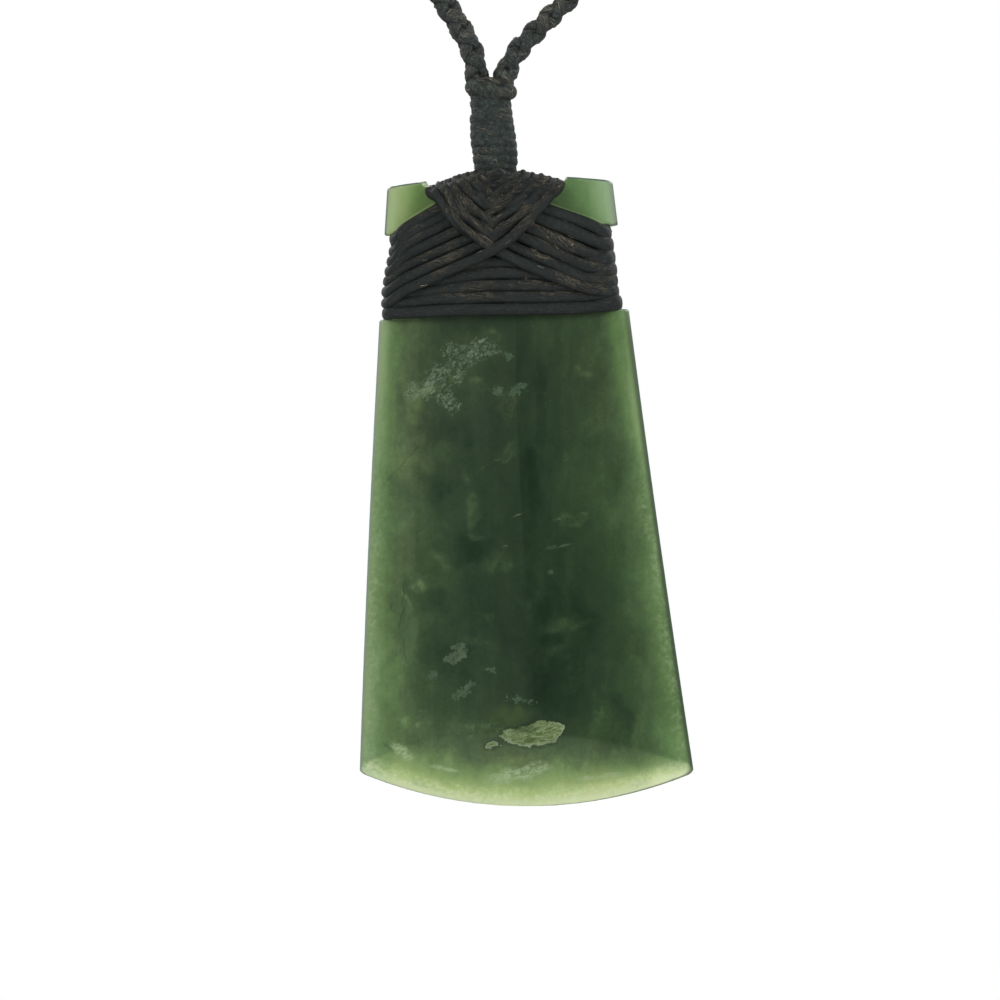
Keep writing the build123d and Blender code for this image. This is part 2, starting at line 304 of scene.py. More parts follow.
class Strands:
    """Many swept strands that become one mesh, with the coordinates that their material needs."""

    def __init__(self, sides):
        self.sides = sides
        self.points = []
        self.faces = []
        self.fibre = []
        self.crown = []
        self.count = 0

    def add(self, line, radius, thickness=None, out=None, closed=True, lay=26.0, relief=0.02,
            square=2.0, creased=True):
        """A strand of twisted plies. Lengths in millimetres from the parting of the braids.

        radius is half its width. thickness is the same in the direction out, which is one
        direction for the whole strand or one for each point. square above 2 fills its corners.
        creased paints shade on its sides, where it lies against its neighbours.
        """
        line = np.asarray(line, float)
        count = len(line)
        radius = np.broadcast_to(np.asarray(radius, float), (count,))
        tangents, normals, sides = frames_along(line, closed)
        if out is not None:
            out = np.broadcast_to(np.asarray(out, float), (count, 3))
            flat = out - tangents * np.einsum("nk,nk->n", out, tangents)[:, None]
            size = np.linalg.norm(flat, axis=1)[:, None]
            normals = np.where(size > LEAST_OUT, flat / np.maximum(size, 1e-6), normals)
            sides = np.cross(tangents, normals)
        if thickness is None:
            thickness = radius
        thickness = np.broadcast_to(np.asarray(thickness, float), (count,))
        along = run_along(line)
        twist = 2 * math.pi * along / lay
        if closed:
            whole = along[-1] + np.linalg.norm(line[0] - line[-1])
            twist = 2 * math.pi * max(1, round(whole / lay)) * along / whole
        angles = round_angles(self.sides)
        cos, sin = np.cos(angles), np.sin(angles)
        start = random.uniform(0, 1000)
        phase = angles[None, :] - twist[:, None]
        full = (np.abs(cos) ** square + np.abs(sin) ** square) ** (-1 / square)
        relief = np.broadcast_to(np.asarray(relief, float), (count,))[:, None]
        plies = np.cos(PLIES * phase)
        reach = full[None, :] * (1 + relief * plies)
        ring = (
            (reach * cos * thickness[:, None])[:, :, None] * normals[:, None, :]
            + (reach * sin * radius[:, None])[:, :, None] * sides[:, None, :]
        )
        self.points.append((line[:, None, :] + ring).reshape(-1, 3))
        places = np.broadcast_to(along[:, None] + start, phase.shape)
        self.fibre.append(np.stack([places, np.cos(phase), np.sin(phase)], axis=-1).reshape(-1, 3))
        # Painted shade on a strand's sides, where it lies against its neighbours, and in the grooves
        # between its plies
        crown = cos if creased else np.ones(self.sides)
        groove_shade = GROOVE_SHADE * smoothstep(relief, *GROOVE_RELIEF) * smoothstep(-plies, 0.1, 0.9)
        self.crown.append((crown[None, :] * (1 - groove_shade)).ravel())
        rows = count if closed else count - 1
        i = np.arange(rows)[:, None]
        j = np.arange(self.sides)[None, :]
        here = i * self.sides
        there = ((i + 1) % count) * self.sides
        beside = (j + 1) % self.sides
        quads = np.stack([here + j, here + beside, there + beside, there + j], axis=-1)
        self.faces.extend((quads.reshape(-1, 4) + self.count).tolist())
        if not closed:
            last = self.count + (count - 1) * self.sides
            self.faces.append([self.count + k for k in reversed(range(self.sides))])
            self.faces.append([last + k for k in range(self.sides)])
        self.count += count * self.sides

    def hairs(self, number, rows, name, material):
        """A piece of short loose fibres, each so many rows of a strand long, on these strands."""
        hairs = Strands(4)
        sizes = np.array([len(points) for points in self.points], float)
        for _ in range(number):
            strand = self.points[np.random.choice(len(self.points), p=sizes / sizes.sum())]
            rings = strand.reshape(-1, self.sides, 3)
            start = random.randrange(0, len(rings) - rows)
            side = random.randrange(self.sides)
            turn = random.choice((-1, 0, 0, 1))
            path = []
            for row in range(rows):
                ring = rings[start + row]
                place = ring[(side + turn * row // 2) % self.sides]
                out = place - ring.mean(axis=0)
                lift = out / np.linalg.norm(out) * random.uniform(0.0, HAIR_LIFT)
                path.append(place + lift + np.random.uniform(-HAIR_CURL, HAIR_CURL, 3))
            radius = HAIR_RADIUS * random.uniform(0.7, 1.3)
            hairs.add(path, radius, closed=False, relief=0.0)
        return hairs.make(name, material)

    def make(self, name, material):
        mesh = bpy.data.meshes.new(name)
        mesh.from_pydata(world(np.vstack(self.points)).tolist(), [], self.faces)
        add_layer(mesh, "fibre", np.vstack(self.fibre))
        add_layer(mesh, "crown", np.concatenate(self.crown))
        return finish_mesh(linked(name, mesh), material)


def add_layer(mesh, name, values):
    """An attribute of each point: numbers, or rows of three."""
    kind, part = ("FLOAT", "value") if values.ndim == 1 else ("FLOAT_VECTOR", "vector")
    mesh.attributes.new(name, kind, "POINT").data.foreach_set(part, values.ravel())


def finish_mesh(piece, material):
    """Smooth shading and the one material of a piece."""
    mesh = piece.data
    mesh.polygons.foreach_set("use_smooth", [True] * len(mesh.polygons))
    mesh.materials.clear()
    mesh.materials.append(material)
    mesh.update()
    print(piece.name, "triangles", sum(len(polygon.vertices) - 2 for polygon in mesh.polygons))
    return piece


# Node helpers

# The values between which noise mostly lies
NOISE_RANGE = (0.3, 0.7)


class Graph:
    """A short way to write a node tree. A value is a number, a colour, a vector or a socket."""

    def __init__(self, name):
        self.material = bpy.data.materials.new(name)
        self.material.use_nodes = True
        self.tree = self.material.node_tree
        self.shader = self.tree.nodes["Principled BSDF"]
        self.place = self.node("ShaderNodeTexCoord").outputs["Object"]

    def fill(self, socket, value):
        if isinstance(value, bpy.types.NodeSocket):
            self.tree.links.new(value, socket)
        else:
            socket.default_value = value

    def node(self, kind, inputs=None, **settings):
        node = self.tree.nodes.new(kind)
        for key, value in settings.items():
            setattr(node, key, value)
        for key, value in (inputs or {}).items():
            self.fill(node.inputs[key], value)
        return node

    def math(self, operation, a, b=0.0):
        return self.node("ShaderNodeMath", {0: a, 1: b}, operation=operation).outputs[0]

    def gathered(self, operation, values):
        value = values[0]
        for other in values[1:]:
            value = self.math(operation, value, other)
        return value

    def product(self, *values):
        return self.gathered("MULTIPLY", values)

    def total(self, *values):
        return self.gathered("ADD", values)

    def least(self, *values):
        return self.gathered("MINIMUM", values)

    def most(self, *values):
        return self.gathered("MAXIMUM", values)

    def less(self, a, b):
        return self.math("SUBTRACT", a, b)

    def size(self, value):
        return self.math("ABSOLUTE", value)

    def vector(self, operation, *values):
        return self.node("ShaderNodeVectorMath", dict(enumerate(values)), operation=operation).outputs

    def scaled(self, vector, scale):
        return self.vector("MULTIPLY", vector, scale)["Vector"]

    def sloped(self, vector, degrees, along, across):
        """The vector turned so that its X rises to the right by so many degrees, and scaled down."""
        return self.node("ShaderNodeMapping", {
            "Vector": vector,
            "Rotation": (0.0, math.radians(-degrees), 0.0),
            "Scale": (along, 1.4, across),
        }, vector_type="TEXTURE").outputs[0]

    def attribute(self, name, output="Vector"):
        return self.node("ShaderNodeAttribute", attribute_name=name).outputs[output]

    def parts(self, vector):
        return self.node("ShaderNodeSeparateXYZ", {0: vector}).outputs

    def channel(self, colour, name):
        return self.node("ShaderNodeSeparateColor", {"Color": colour}).outputs[name]

    def normal(self):
        """X, Y and Z of the surface's direction."""
        return self.parts(self.node("ShaderNodeNewGeometry").outputs["Normal"])

    def noise(self, vector, scale, detail=4.0, roughness=0.55, distortion=0.0, output="Fac"):
        return self.node("ShaderNodeTexNoise", {
            "Vector": vector,
            "Scale": scale,
            "Detail": detail,
            "Roughness": roughness,
            "Distortion": distortion,
        }).outputs[output]

    def cells(self, vector, scale, feature="F1"):
        """Cells of about one unit over the scale: Distance from a middle or edge, and Color."""
        inputs = {"Vector": vector, "Scale": scale}
        return self.node("ShaderNodeTexVoronoi", inputs, feature=feature).outputs

    def span(self, value, low, high, to_low=0.0, to_high=1.0, smooth=True):
        return self.node("ShaderNodeMapRange", {
            "Value": value,
            "From Min": low,
            "From Max": high,
            "To Min": to_low,
            "To Max": to_high,
        }, interpolation_type="SMOOTHSTEP" if smooth else "LINEAR").outputs["Result"]

    def swing(self, value, most):
        """Noise as a shift of up to so much either way."""
        return self.span(value, *NOISE_RANGE, -most, most, False)

    def mix(self, factor, a, b, blend="MIX"):
        settings = {"data_type": "RGBA", "blend_type": blend}
        return self.node("ShaderNodeMix", {0: factor, 6: a, 7: b}, **settings).outputs[2]

    def ramp(self, value, stops):
        node = self.node("ShaderNodeValToRGB", {"Fac": value})
        elements = node.color_ramp.elements
        while len(elements) < len(stops):
            elements.new(0.5)
        for element, (place, colour) in zip(elements, stops):
            element.position = place
            element.color = colour
        return node.outputs["Color"]

    def bump(self, height, strength, distance):
        inputs = {"Strength": strength, "Distance": distance, "Height": height}
        return self.node("ShaderNodeBump", inputs).outputs["Normal"]

    def finish(self, **sockets):
        for key, value in sockets.items():
            self.fill(self.shader.inputs[key.replace("_", " ")], value)
        return self.material


def shade(red, green, blue):
    """A colour as a screen shows it, 0 to 255, in linear light."""
    def linear(value):
        value /= 255
        return value / 12.92 if value <= 0.04045 else ((value + 0.055) / 1.055) ** 2.4
    return (linear(red), linear(green), linear(blue), 1.0)


# Materials

# Where the thread is most worn, in the photograph's pixels: middle x and y, half length, half height
WORN_PLACES = [
    (491, 206, 54, 38),
    (520, 294, 95, 14),
    (548, 240, 34, 26),
]

# Where painted shade darkens a strand's sides, from its crown (1) down to its sides (0), and how much
CREASE = (0.74, 0.3)
CREASE_SHADE = 0.63

# The palest of a thread's pale fibres and painted glints, as a screen shows it, and its specks' colour
PALEST = 140
SPECK_COLOUR = (150, 132, 104)


def thread_material(name, tone, brown, brown_cut, fuzzy, glints, gloss):
    """Waxed thread: dark twisted filaments, brown fibres where it is worn, and a few pale specks,
    with painted highlights on its upper sides, painted glints, and painted shade in its creases.

    A lower brown_cut shows the brown fibres over more of the thread, fuzzy roughens it, glints is
    how strongly single fibres catch the light, and gloss is its roughness where it isn't worn.
    """
    g = Graph(name)
    product, total, span = g.product, g.total, g.span
    fibre = g.attribute("fibre")
    up = g.normal()["Z"]

    def drawn_out(along, across, *settings):
        """Noise that is stretched along the fibres."""
        return g.noise(g.scaled(fibre, (along, across, across)), 1.0, *settings)

    def toned(share):
        return shade(*[part * share for part in tone])

    dash = drawn_out(1.3, 6.4, 5.0, 0.72, 1.5)
    fine = drawn_out(3.4, 9.0, 3.0, 0.65, 0.8)
    grain = drawn_out(1.7, 6.5, 5.0, 0.78, 1.2)
    patch = drawn_out(0.2, 0.35, 2.0, 0.5)
    fuzz = g.noise(g.place, 3600.0, 3.0, 0.6)
    cloud = g.noise(g.place, 260.0, 3.0, 0.55)
    rough = g.noise(g.place, 2300.0, 4.0, 0.75, 0.8)
    for pixel_x, pixel_y, length, height in WORN_PLACES:
        x, z = local(pixel_x, pixel_y)
        size = (PIXELS_PER_MM / MM / length, 0.0, PIXELS_PER_MM / MM / height)
        shift = tuple(-world([(x, 0, z)])[0] * size)
        off = g.vector("MULTIPLY_ADD", g.place, size, shift)["Vector"]
        away = g.vector("LENGTH", off)["Value"]
        patch = total(patch, span(away, 1.1, 0.5, 0.0, 0.13))
    # Wear, raised a little on the upper sides where the light falls: partly real wear, partly painted
    # light
    worn = span(total(patch, product(up, 0.1)), brown_cut, brown_cut + 0.16)
    dull = product(span(dash, 0.48, 0.38), span(worn, 0.0, 1.0, 0.3, 0.8), 0.7)
    # Painted highlight: worn brown fibres brighter on the strands' upper sides
    lit = product(span(dash, 0.52, 0.6), worn, span(up, -0.5, 0.5, 0.45, 1.0), 0.8)
    hair = product(span(fine, 0.56, 0.68), span(worn, 0.0, 1.0, 0.35, 0.75), 0.55)
    # Painted glints on single fibres
    glint = product(span(grain, 0.54, 0.62), span(worn, 0.0, 1.0, 0.5 * glints, glints))
    speck = g.cells(g.place, 900.0)
    rare = g.math("GREATER_THAN", g.channel(speck["Color"], "Red"), 0.955)
    crown = total(g.attribute("crown", "Fac"), product(rough, 0.2))
    colour = g.mix(cloud, toned(0.78), toned(1.2))
    for mask, paint in (
        (product(span(rough, 0.5, 0.36), 0.6), toned(0.6)),
        # Pale fibres, brightened by painted glints
        (product(span(rough, 0.52, 0.66), glints), shade(*[min(part * 1.75, PALEST) for part in tone])),
        (dull, toned(0.6)),
        (lit, shade(*brown)),
        (hair, shade(*[(dark + pale) * 0.66 for dark, pale in zip(tone, brown)])),
        (product(span(grain, 0.44, 0.33), 0.55), toned(0.55)),
        (glint, shade(*[part * 1.2 for part in brown])),
        (product(span(speck["Distance"], 0.13, 0.05), rare, 0.8), shade(*SPECK_COLOUR)),
        # Painted shade in the strands' creases and ply grooves
        (span(crown, *CREASE, 0.0, CREASE_SHADE), toned(0.36)),
    ):
        colour = g.mix(mask, colour, paint)
    relief = total(product(fine, 0.6), product(dash, 0.8), product(fuzz, fuzzy))
    return g.finish(
        Base_Color=colour,
        Roughness=span(worn, 0.0, 1.0, gloss, 0.78, False),
        Normal=g.bump(relief, 0.9, 0.0001),
        Specular_IOR_Level=0.3,
    )


def clouded_material(name, scale, detail, low, high, roughness, spread=None):
    """Two tones in clouds: the pale fibres, the dark inner turns and the floor."""
    g = Graph(name)
    cloud = g.noise(g.place, scale, detail, 0.6)
    if spread:
        cloud = g.span(cloud, *spread)
    return g.finish(Base_Color=g.mix(cloud, shade(*low), shade(*high)), Roughness=roughness)


# Colours of the stone by how thick it is there, in millimetres, as light comes through it:
# on its faces, and on the bevel of the cutting edge, which also catches the light
STONE_DEEPEST = 8.0
FACE_COLOURS = [
    (0.4, (164, 182, 145)), (1.0, (146, 168, 124)), (1.5, (130, 154, 108)), (2.1, (108, 134, 88)),
    (2.7, (93, 118, 75)), (3.3, (80, 101, 68)), (4.3, (63, 82, 56)), (5.1, (54, 71, 50)),
    (6.0, (47, 63, 46)), (7.0, (37, 53, 38)), (8.0, (31, 46, 32)),
]
BEVEL_COLOURS = [
    (0.6, (212, 227, 180)), (1.0, (200, 217, 162)), (1.5, (176, 199, 132)), (2.1, (148, 173, 111)),
    (2.9, (125, 151, 99)), (3.6, (105, 129, 85)), (4.3, (88, 108, 75)), (5.0, (76, 96, 67)),
    (6.2, (60, 76, 57)),
]

# Colours of the crusts by how light their crystals are, and of the flakes' fine lines
CRUST_COLOURS = [
    (0.26, (48, 62, 47)), (0.36, (62, 78, 59)), (0.46, (80, 97, 75)), (0.56, (96, 112, 90)),
    (0.7, (120, 136, 113)),
]
FLAKE_COLOURS = [
    (0.34, (62, 82, 44)), (0.43, (88, 109, 64)), (0.52, (114, 134, 90)), (0.62, (148, 162, 126)),
]

# Marks in the stone, in the photograph's pixels: middle x and y, half length, half width, and
# degrees by which the length rises to the right
SMALL_FLECKS = [
    (499, 391, 8, 6, 0), (518, 390, 13, 6, 28), (508, 358, 7, 5, -30), (469, 686, 8, 6, 60),
    (434, 674, 7, 5, -30), (460, 692, 11, 5, 30), (491, 668, 8, 3, -15), (518, 698, 15, 4.5, -8),
    (550, 572, 4, 3, 0), (386, 744, 9, 4, -8),
]
STREAKS = [
    (516, 774, 42, 9, 14), (403, 752, 17, 6, -42), (447, 768, 20, 2.6, -12), (600, 776, 30, 4, 6),
    (425, 785, 30, 4, -20), (640, 783, 20, 5, 22), (644, 507, 3, 4, 60),
]
THIN_STREAKS = [
    (560, 546, 20, 1.6, 11), (517, 515, 11, 1.2, 20), (556, 519, 8, 2, 8), (553, 546, 9, 1.2, 5),
    (505, 546, 6, 1.6, 20), (405, 599, 8, 1.5, 95),
]
STAINS = [(414, 404, 13, 24, 8), (428, 392, 15, 9, 30), (449, 382, 12, 6, 60)]
SMUDGES = [(512, 711, 28, 14, 0)]
PALE_CLOUDS = [
    (466, 477, 14, 9, 35), (472, 504, 24, 8, 98), (477, 530, 9, 6, 0), (473, 386, 12, 8, 30),
    (425, 586, 13, 8, 0), (586, 377, 16, 8, -10), (562, 457, 9, 8, 30), (503, 566, 24, 17, 10),
    (484, 616, 11, 7, 20), (480, 645, 12, 7, -10), (529, 618, 8, 4, 0), (566, 622, 26, 9, -4),
    (556, 654, 16, 8, 40), (572, 518, 24, 6, 6), (404, 598, 4, 20, 0), (416, 722, 18, 14, 0),
    (505, 450, 16, 14, 20), (492, 330, 12, 9, 0), (440, 560, 16, 10, 0), (485, 728, 30, 13, 0),
    (506, 408, 8, 26, 0), (530, 600, 10, 20, 0), (595, 700, 14, 24, 0),
]
# Cloudy lines: points, and half width
PALE_LINES = [([(478, 470), (492, 464), (506, 461), (516, 452)], 1.6)]
DARK_VEILS = [
    (478, 322, 36, 13, 0), (436, 492, 26, 18, 90), (434, 603, 24, 15, 0), (551, 596, 26, 20, 90),
    (549, 640, 18, 12, 0), (556, 692, 44, 26, 90), (440, 655, 30, 28, 0), (470, 545, 30, 18, 0),
    (450, 430, 30, 16, 0), (580, 640, 70, 16, 90), (618, 720, 32, 9, 98),
]
# Upright dark streaks: points, and half width
DARK_LINES = [
    ([(537, 366), (539, 400), (541, 445)], 6.0),
    ([(530, 455), (533, 505)], 6.5),
]
DARK_LINE_MOST = 0.3
OLIVE_VEILS = [
    (415, 490, 70, 16, 92), (402, 560, 60, 14, 92), (582, 370, 36, 26, 0), (503, 545, 30, 14, 70),
    (470, 345, 40, 24, 0), (620, 660, 70, 22, 100), (520, 760, 40, 14, 0), (505, 380, 10, 60, 0),
]
CRACKS = [
    (402, 465, 31, 0.5, 47.6), (405, 590, 16, 0.7, 84), (402, 618, 12, 0.7, 68),
    (405, 650, 14, 0.6, 97), (391, 605, 3.5, 1.1, 55),
]
DARK_SPECKS = [
    (660, 694, 4.5, 1.6, 75), (669, 704, 3, 2, 60), (675, 731, 5, 1.8, 75), (652, 606, 3, 1.4, 30),
    (646, 512, 4, 1.2, 60), (556, 738, 2.5, 1.2, 20), (508, 733, 5, 1.2, 30),
]
LUG_CHIPS = [
    (426, 186, 7, 3.2, -32), (421, 183.5, 3, 2, -20), (565, 180, 2.6, 1.6, 60),
    (562, 186, 1.2, 4, 20),
]
BACK_FLECKS = [(560, 660, 40, 12, 35), (420, 420, 26, 9, -25), (575, 640, 12, 7, 10)]
BACK_FLAKES = [(470, 560, 18, 8, -20), (600, 742, 20, 8, 10)]
BACK_CLOUDS = [
    (450, 450, 40, 16, 30), (560, 500, 30, 14, -30), (470, 660, 40, 18, 20), (590, 380, 24, 14, 0),
    (520, 600, 30, 12, 60),
]

# Outlines of the crusts and flakes on the front face, in the photograph's pixels
CRUST_OUTLINES = [
    [
        (440, 355), (443, 346), (453, 342), (459, 347), (474, 341), (484, 337), (492, 344),
        (501, 350), (500, 353), (493, 358), (486, 360), (479, 362), (474, 367), (468, 372),
        (464, 376), (461, 380), (458, 376), (454, 370), (449, 363), (443, 359),
    ],
    [
        (449, 362), (454, 370), (450, 376), (449, 382), (444, 390), (441, 396), (439, 401),
        (436, 396), (432, 397), (428, 402), (418, 397), (411, 402), (406, 399), (404, 395),
        (408, 389), (409, 384), (413, 382), (417, 385), (421, 384), (425, 377), (428, 370),
        (434, 363), (439, 367), (444, 362),
    ],
    [
        (444, 390), (450, 386), (454, 379), (458, 375), (465, 375), (462, 382), (456, 389),
        (452, 395), (456, 400), (462, 404), (459, 411), (453, 415), (448, 410), (443, 406),
        (440, 401),
    ],
]
PLAIN_OUTLINES = [
    [
        (451, 645), (458, 641), (463, 641), (467, 646), (468, 652), (465, 658), (460, 661),
        (453, 665), (450, 662), (444, 661), (442, 657), (447, 655), (451, 652), (456, 651),
        (457, 648), (452, 649),
    ],
]
FLAKE_OUTLINES = [
    [
        (498, 734), (505, 729), (512, 727), (519, 725), (530, 722), (539, 719), (550, 718),
        (560, 720), (564, 725), (563, 730), (559, 735), (555, 740), (548, 743), (542, 745),
        (533, 744), (523, 745), (515, 743), (508, 740), (503, 737),
    ],
    [
        (484, 744), (488, 741), (494, 739), (501, 741), (500, 744), (494, 745), (491, 747),
        (486, 747),
    ],
]

# Where the large flake is clearer, and where its middle height and its right end are
FLAKE_WINDOWS = [(523, 727, 13, 5, 8)]
FLAKE_MIDDLE_Z = (local(0, 731)[1], local(0, 737)[1])
FLAKE_END_X = (local(550, 0)[0], local(558, 0)[0])

# The seam down the middle of the front, right of which the stone is darker
SEAM = [(515, 300), (516, 400), (520, 480), (524, 560), (528, 640), (530, 740)]

# Which marks each of the mesh's three-part attributes carries
MARK_FIELDS = {
    "veils": (DARK_VEILS, PALE_CLOUDS, OLIVE_VEILS),
    "flecks": (SMALL_FLECKS, STREAKS, THIN_STREAKS),
    "tones": (STAINS, SMUDGES, DARK_SPECKS),
    "back_marks": (BACK_FLECKS, BACK_FLAKES, BACK_CLOUDS),
}
OUTLINE_FIELDS = (CRUST_OUTLINES, PLAIN_OUTLINES, FLAKE_OUTLINES)

# How far in front of or behind the stone's middle the marks lie, and how far they reach in
# that direction, and the least that an outline's field holds outside it, millimetres
MARK_FACE_Y = 2.8
MARK_FACE_REACH = 2.6
OUTSIDE = -5.0

# How far off a place is that no crack, or no lug, is near, and a crack's end in its half lengths
NO_CRACK = 9.0
OFF_LUGS = 9.0
CRACK_ENDS = 1.2

# How far the marks' places wander: the wander's scale per millimetre, and its size
WANDERS = ((0.35, 1.1), (0.9, 0.6))


def wandered(points):
    """The points pushed about smoothly, so that marks placed by them are uneven."""
    pushed = points.copy()
    for scale, size in WANDERS:
        pushed += size * np.array([noise.noise_vector(Vector(point) * scale) for point in points])
    return pushed


def in_mark(points, mark):
    """Places along and across a mark, in its half lengths and half widths."""
    pixel_x, pixel_y, length, width, angle = mark
    x, z = local(pixel_x, pixel_y)
    cos, sin = math.cos(math.radians(angle)), math.sin(math.radians(angle))
    dx, dz = points[:, 0] - x, points[:, 2] - z
    along = (dx * cos + dz * sin) * PIXELS_PER_MM / length
    return along, (dz * cos - dx * sin) * PIXELS_PER_MM / width


def inside_marks(points, spots, face):
    """How far inside the nearest mark each point is: 1 at its middle, 0 at its edge, then negative."""
    best = np.full(len(points), -1.0)
    w = (points[:, 1] * face - MARK_FACE_Y) / MARK_FACE_REACH
    for spot in spots:
        u, v = in_mark(points, spot)
        best = np.maximum(best, 1 - np.sqrt(u * u + v * v + w * w))
    return best


def from_path(points, pixels, closed=False):
    """Distance of each point from a path through pixels, seen from the front."""
    path = [local(*pixel) for pixel in pixels]
    if closed:
        path.append(path[0])
    nearest = np.full(len(points), np.inf)
    for start, end in zip(path, path[1:]):
        run = np.array(end) - np.array(start)
        off = points[:, [0, 2]] - np.array(start)
        share = np.clip(off @ run / (run @ run), 0, 1)
        nearest = np.minimum(nearest, np.linalg.norm(off - share[:, None] * run, axis=1))
    return nearest


def inside_lines(points, lines):
    best = np.full(len(points), -1.0)
    for pixels, half_width in lines:
        best = np.maximum(best, 1 - from_path(points, pixels) * PIXELS_PER_MM / half_width)
    return np.where(points[:, 1] < 0, best, -1.0)


def inside_outlines(points, outlines):
    """Millimetres inside the nearest outline on the front face, negative outside it."""
    best = np.full(len(points), OUTSIDE)
    for pixels in outlines:
        path = [local(*pixel) for pixel in pixels]
        away = from_path(points, pixels, closed=True)
        within = np.zeros(len(points), bool)
        for (x1, z1), (x2, z2) in zip(path, path[1:] + path[:1]):
            if z1 == z2:
                continue
            spans = (points[:, 2] > min(z1, z2)) & (points[:, 2] <= max(z1, z2))
            crossing = x1 + (points[:, 2] - z1) / (z2 - z1) * (x2 - x1)
            within ^= spans & (points[:, 0] < crossing)
        best = np.maximum(best, np.where(within, away, -away))
    return np.where(points[:, 1] < 0, best, OUTSIDE)


def crack_field(points):
    """Signed distance from the nearest crack in its half widths, and how far inside its length."""
    offset, reach = np.full(len(points), NO_CRACK), np.full(len(points), -1.0)
    for crack in CRACKS:
        u, v = in_mark(points, crack)
        u = np.abs(u)
        closer = (u < CRACK_ENDS) & (np.abs(v) < np.abs(offset)) & (points[:, 1] < 0)
        offset[closer] = v[closer]
        reach[closer] = 1 - u[closer]
    return offset, reach


def mark_fields(points):
    """The three-part attributes that carry the marks, by name."""
    pushed = wandered(points)
    triples = {}
    for name, lists in MARK_FIELDS.items():
        places = points if name == "flecks" else pushed
        face = 1 if name == "back_marks" else -1
        triples[name] = [inside_marks(places, spots, face) for spots in lists]
    dark, pale, _ = triples["veils"]
    streaks = np.minimum(inside_lines((points + pushed) / 2, DARK_LINES), DARK_LINE_MOST)
    triples["veils"][0] = np.maximum(dark, streaks)
    triples["veils"][1] = np.maximum(pale, inside_lines(pushed * 0.8 + points * 0.2, PALE_LINES))
    triples["outlines"] = [inside_outlines(points, outlines) for outlines in OUTLINE_FIELDS]
    triples["crack"] = [*crack_field(points), inside_marks(points, FLAKE_WINDOWS, -1)]
    return triples


# Where painted light and shade make the stone seem thicker or thinner than it is, millimetres
RIGHT_SHADE_X = (5.0, 13.0)
RIGHT_SHADE_Z = (-40.0, -54.0)
RIGHT_SHADE = 0.45
RIGHT_LEAST = 1.85
RIGHT_LEAST_Z = (-24.0, -30.0)
LUG_Z = (-18.0, -15.5)
LUG_REACH = (3.0, 0.7)
LUG_GLOW = (1.35, 2.1)
LUG_OUTLINE = (0.24, 0.1)
LEFT_GLOW_Z = (-40.0, -24.0)
LEFT_GLOW = (0.2, 1.0)
RIGHT_GLOW_Z = (-40.0, -31.0)
RIGHT_GLOW = 0.95
GLOW_REACH = (3.4, 1.6)
GLOW_RIM = (0.0, 1.0)
LEFT_REACH = (2.5, 0.5)
LOW_GLOW_Z = (-59.5, -63.0)
LOW_GLOW = 0.9
LOW_GLOW_REACH = (3.0, 7.0)
GREYER_Z = (-46.0, -28.0)
LIGHTER_Z = (-62.0, -30.0)
LIGHTER = 0.35
CORNER_X = (7.0, 13.0)
CORNER_Z = (-67.4, -65.6)
CORNER_SHARE = 0.8
RIGHT_CORNER_X = (14.6, 16.4)
RIGHT_CORNER_Z = (-61.0, -63.6)
LEFT_CORNER_X = (-8.5, -11.0)
SEAM_DEPTH = 0.65
CRUST_BEND = (1.3, 1.3, 1.3)
CRUST_CELLS = 1.35

# How much light the stone's gloss adds, and how bright a white surface is in this light
STONE_GLOSS = 0.0115
LIGHT_LEVEL = 1.03


def gem(red, green, blue):
    """The base colour that looks like a screen colour once light and gloss are on it."""
    seen = shade(red, green, blue)
    return tuple(max(0.001, (part - STONE_GLOSS) / LIGHT_LEVEL) for part in seen[:3]) + (1.0,)


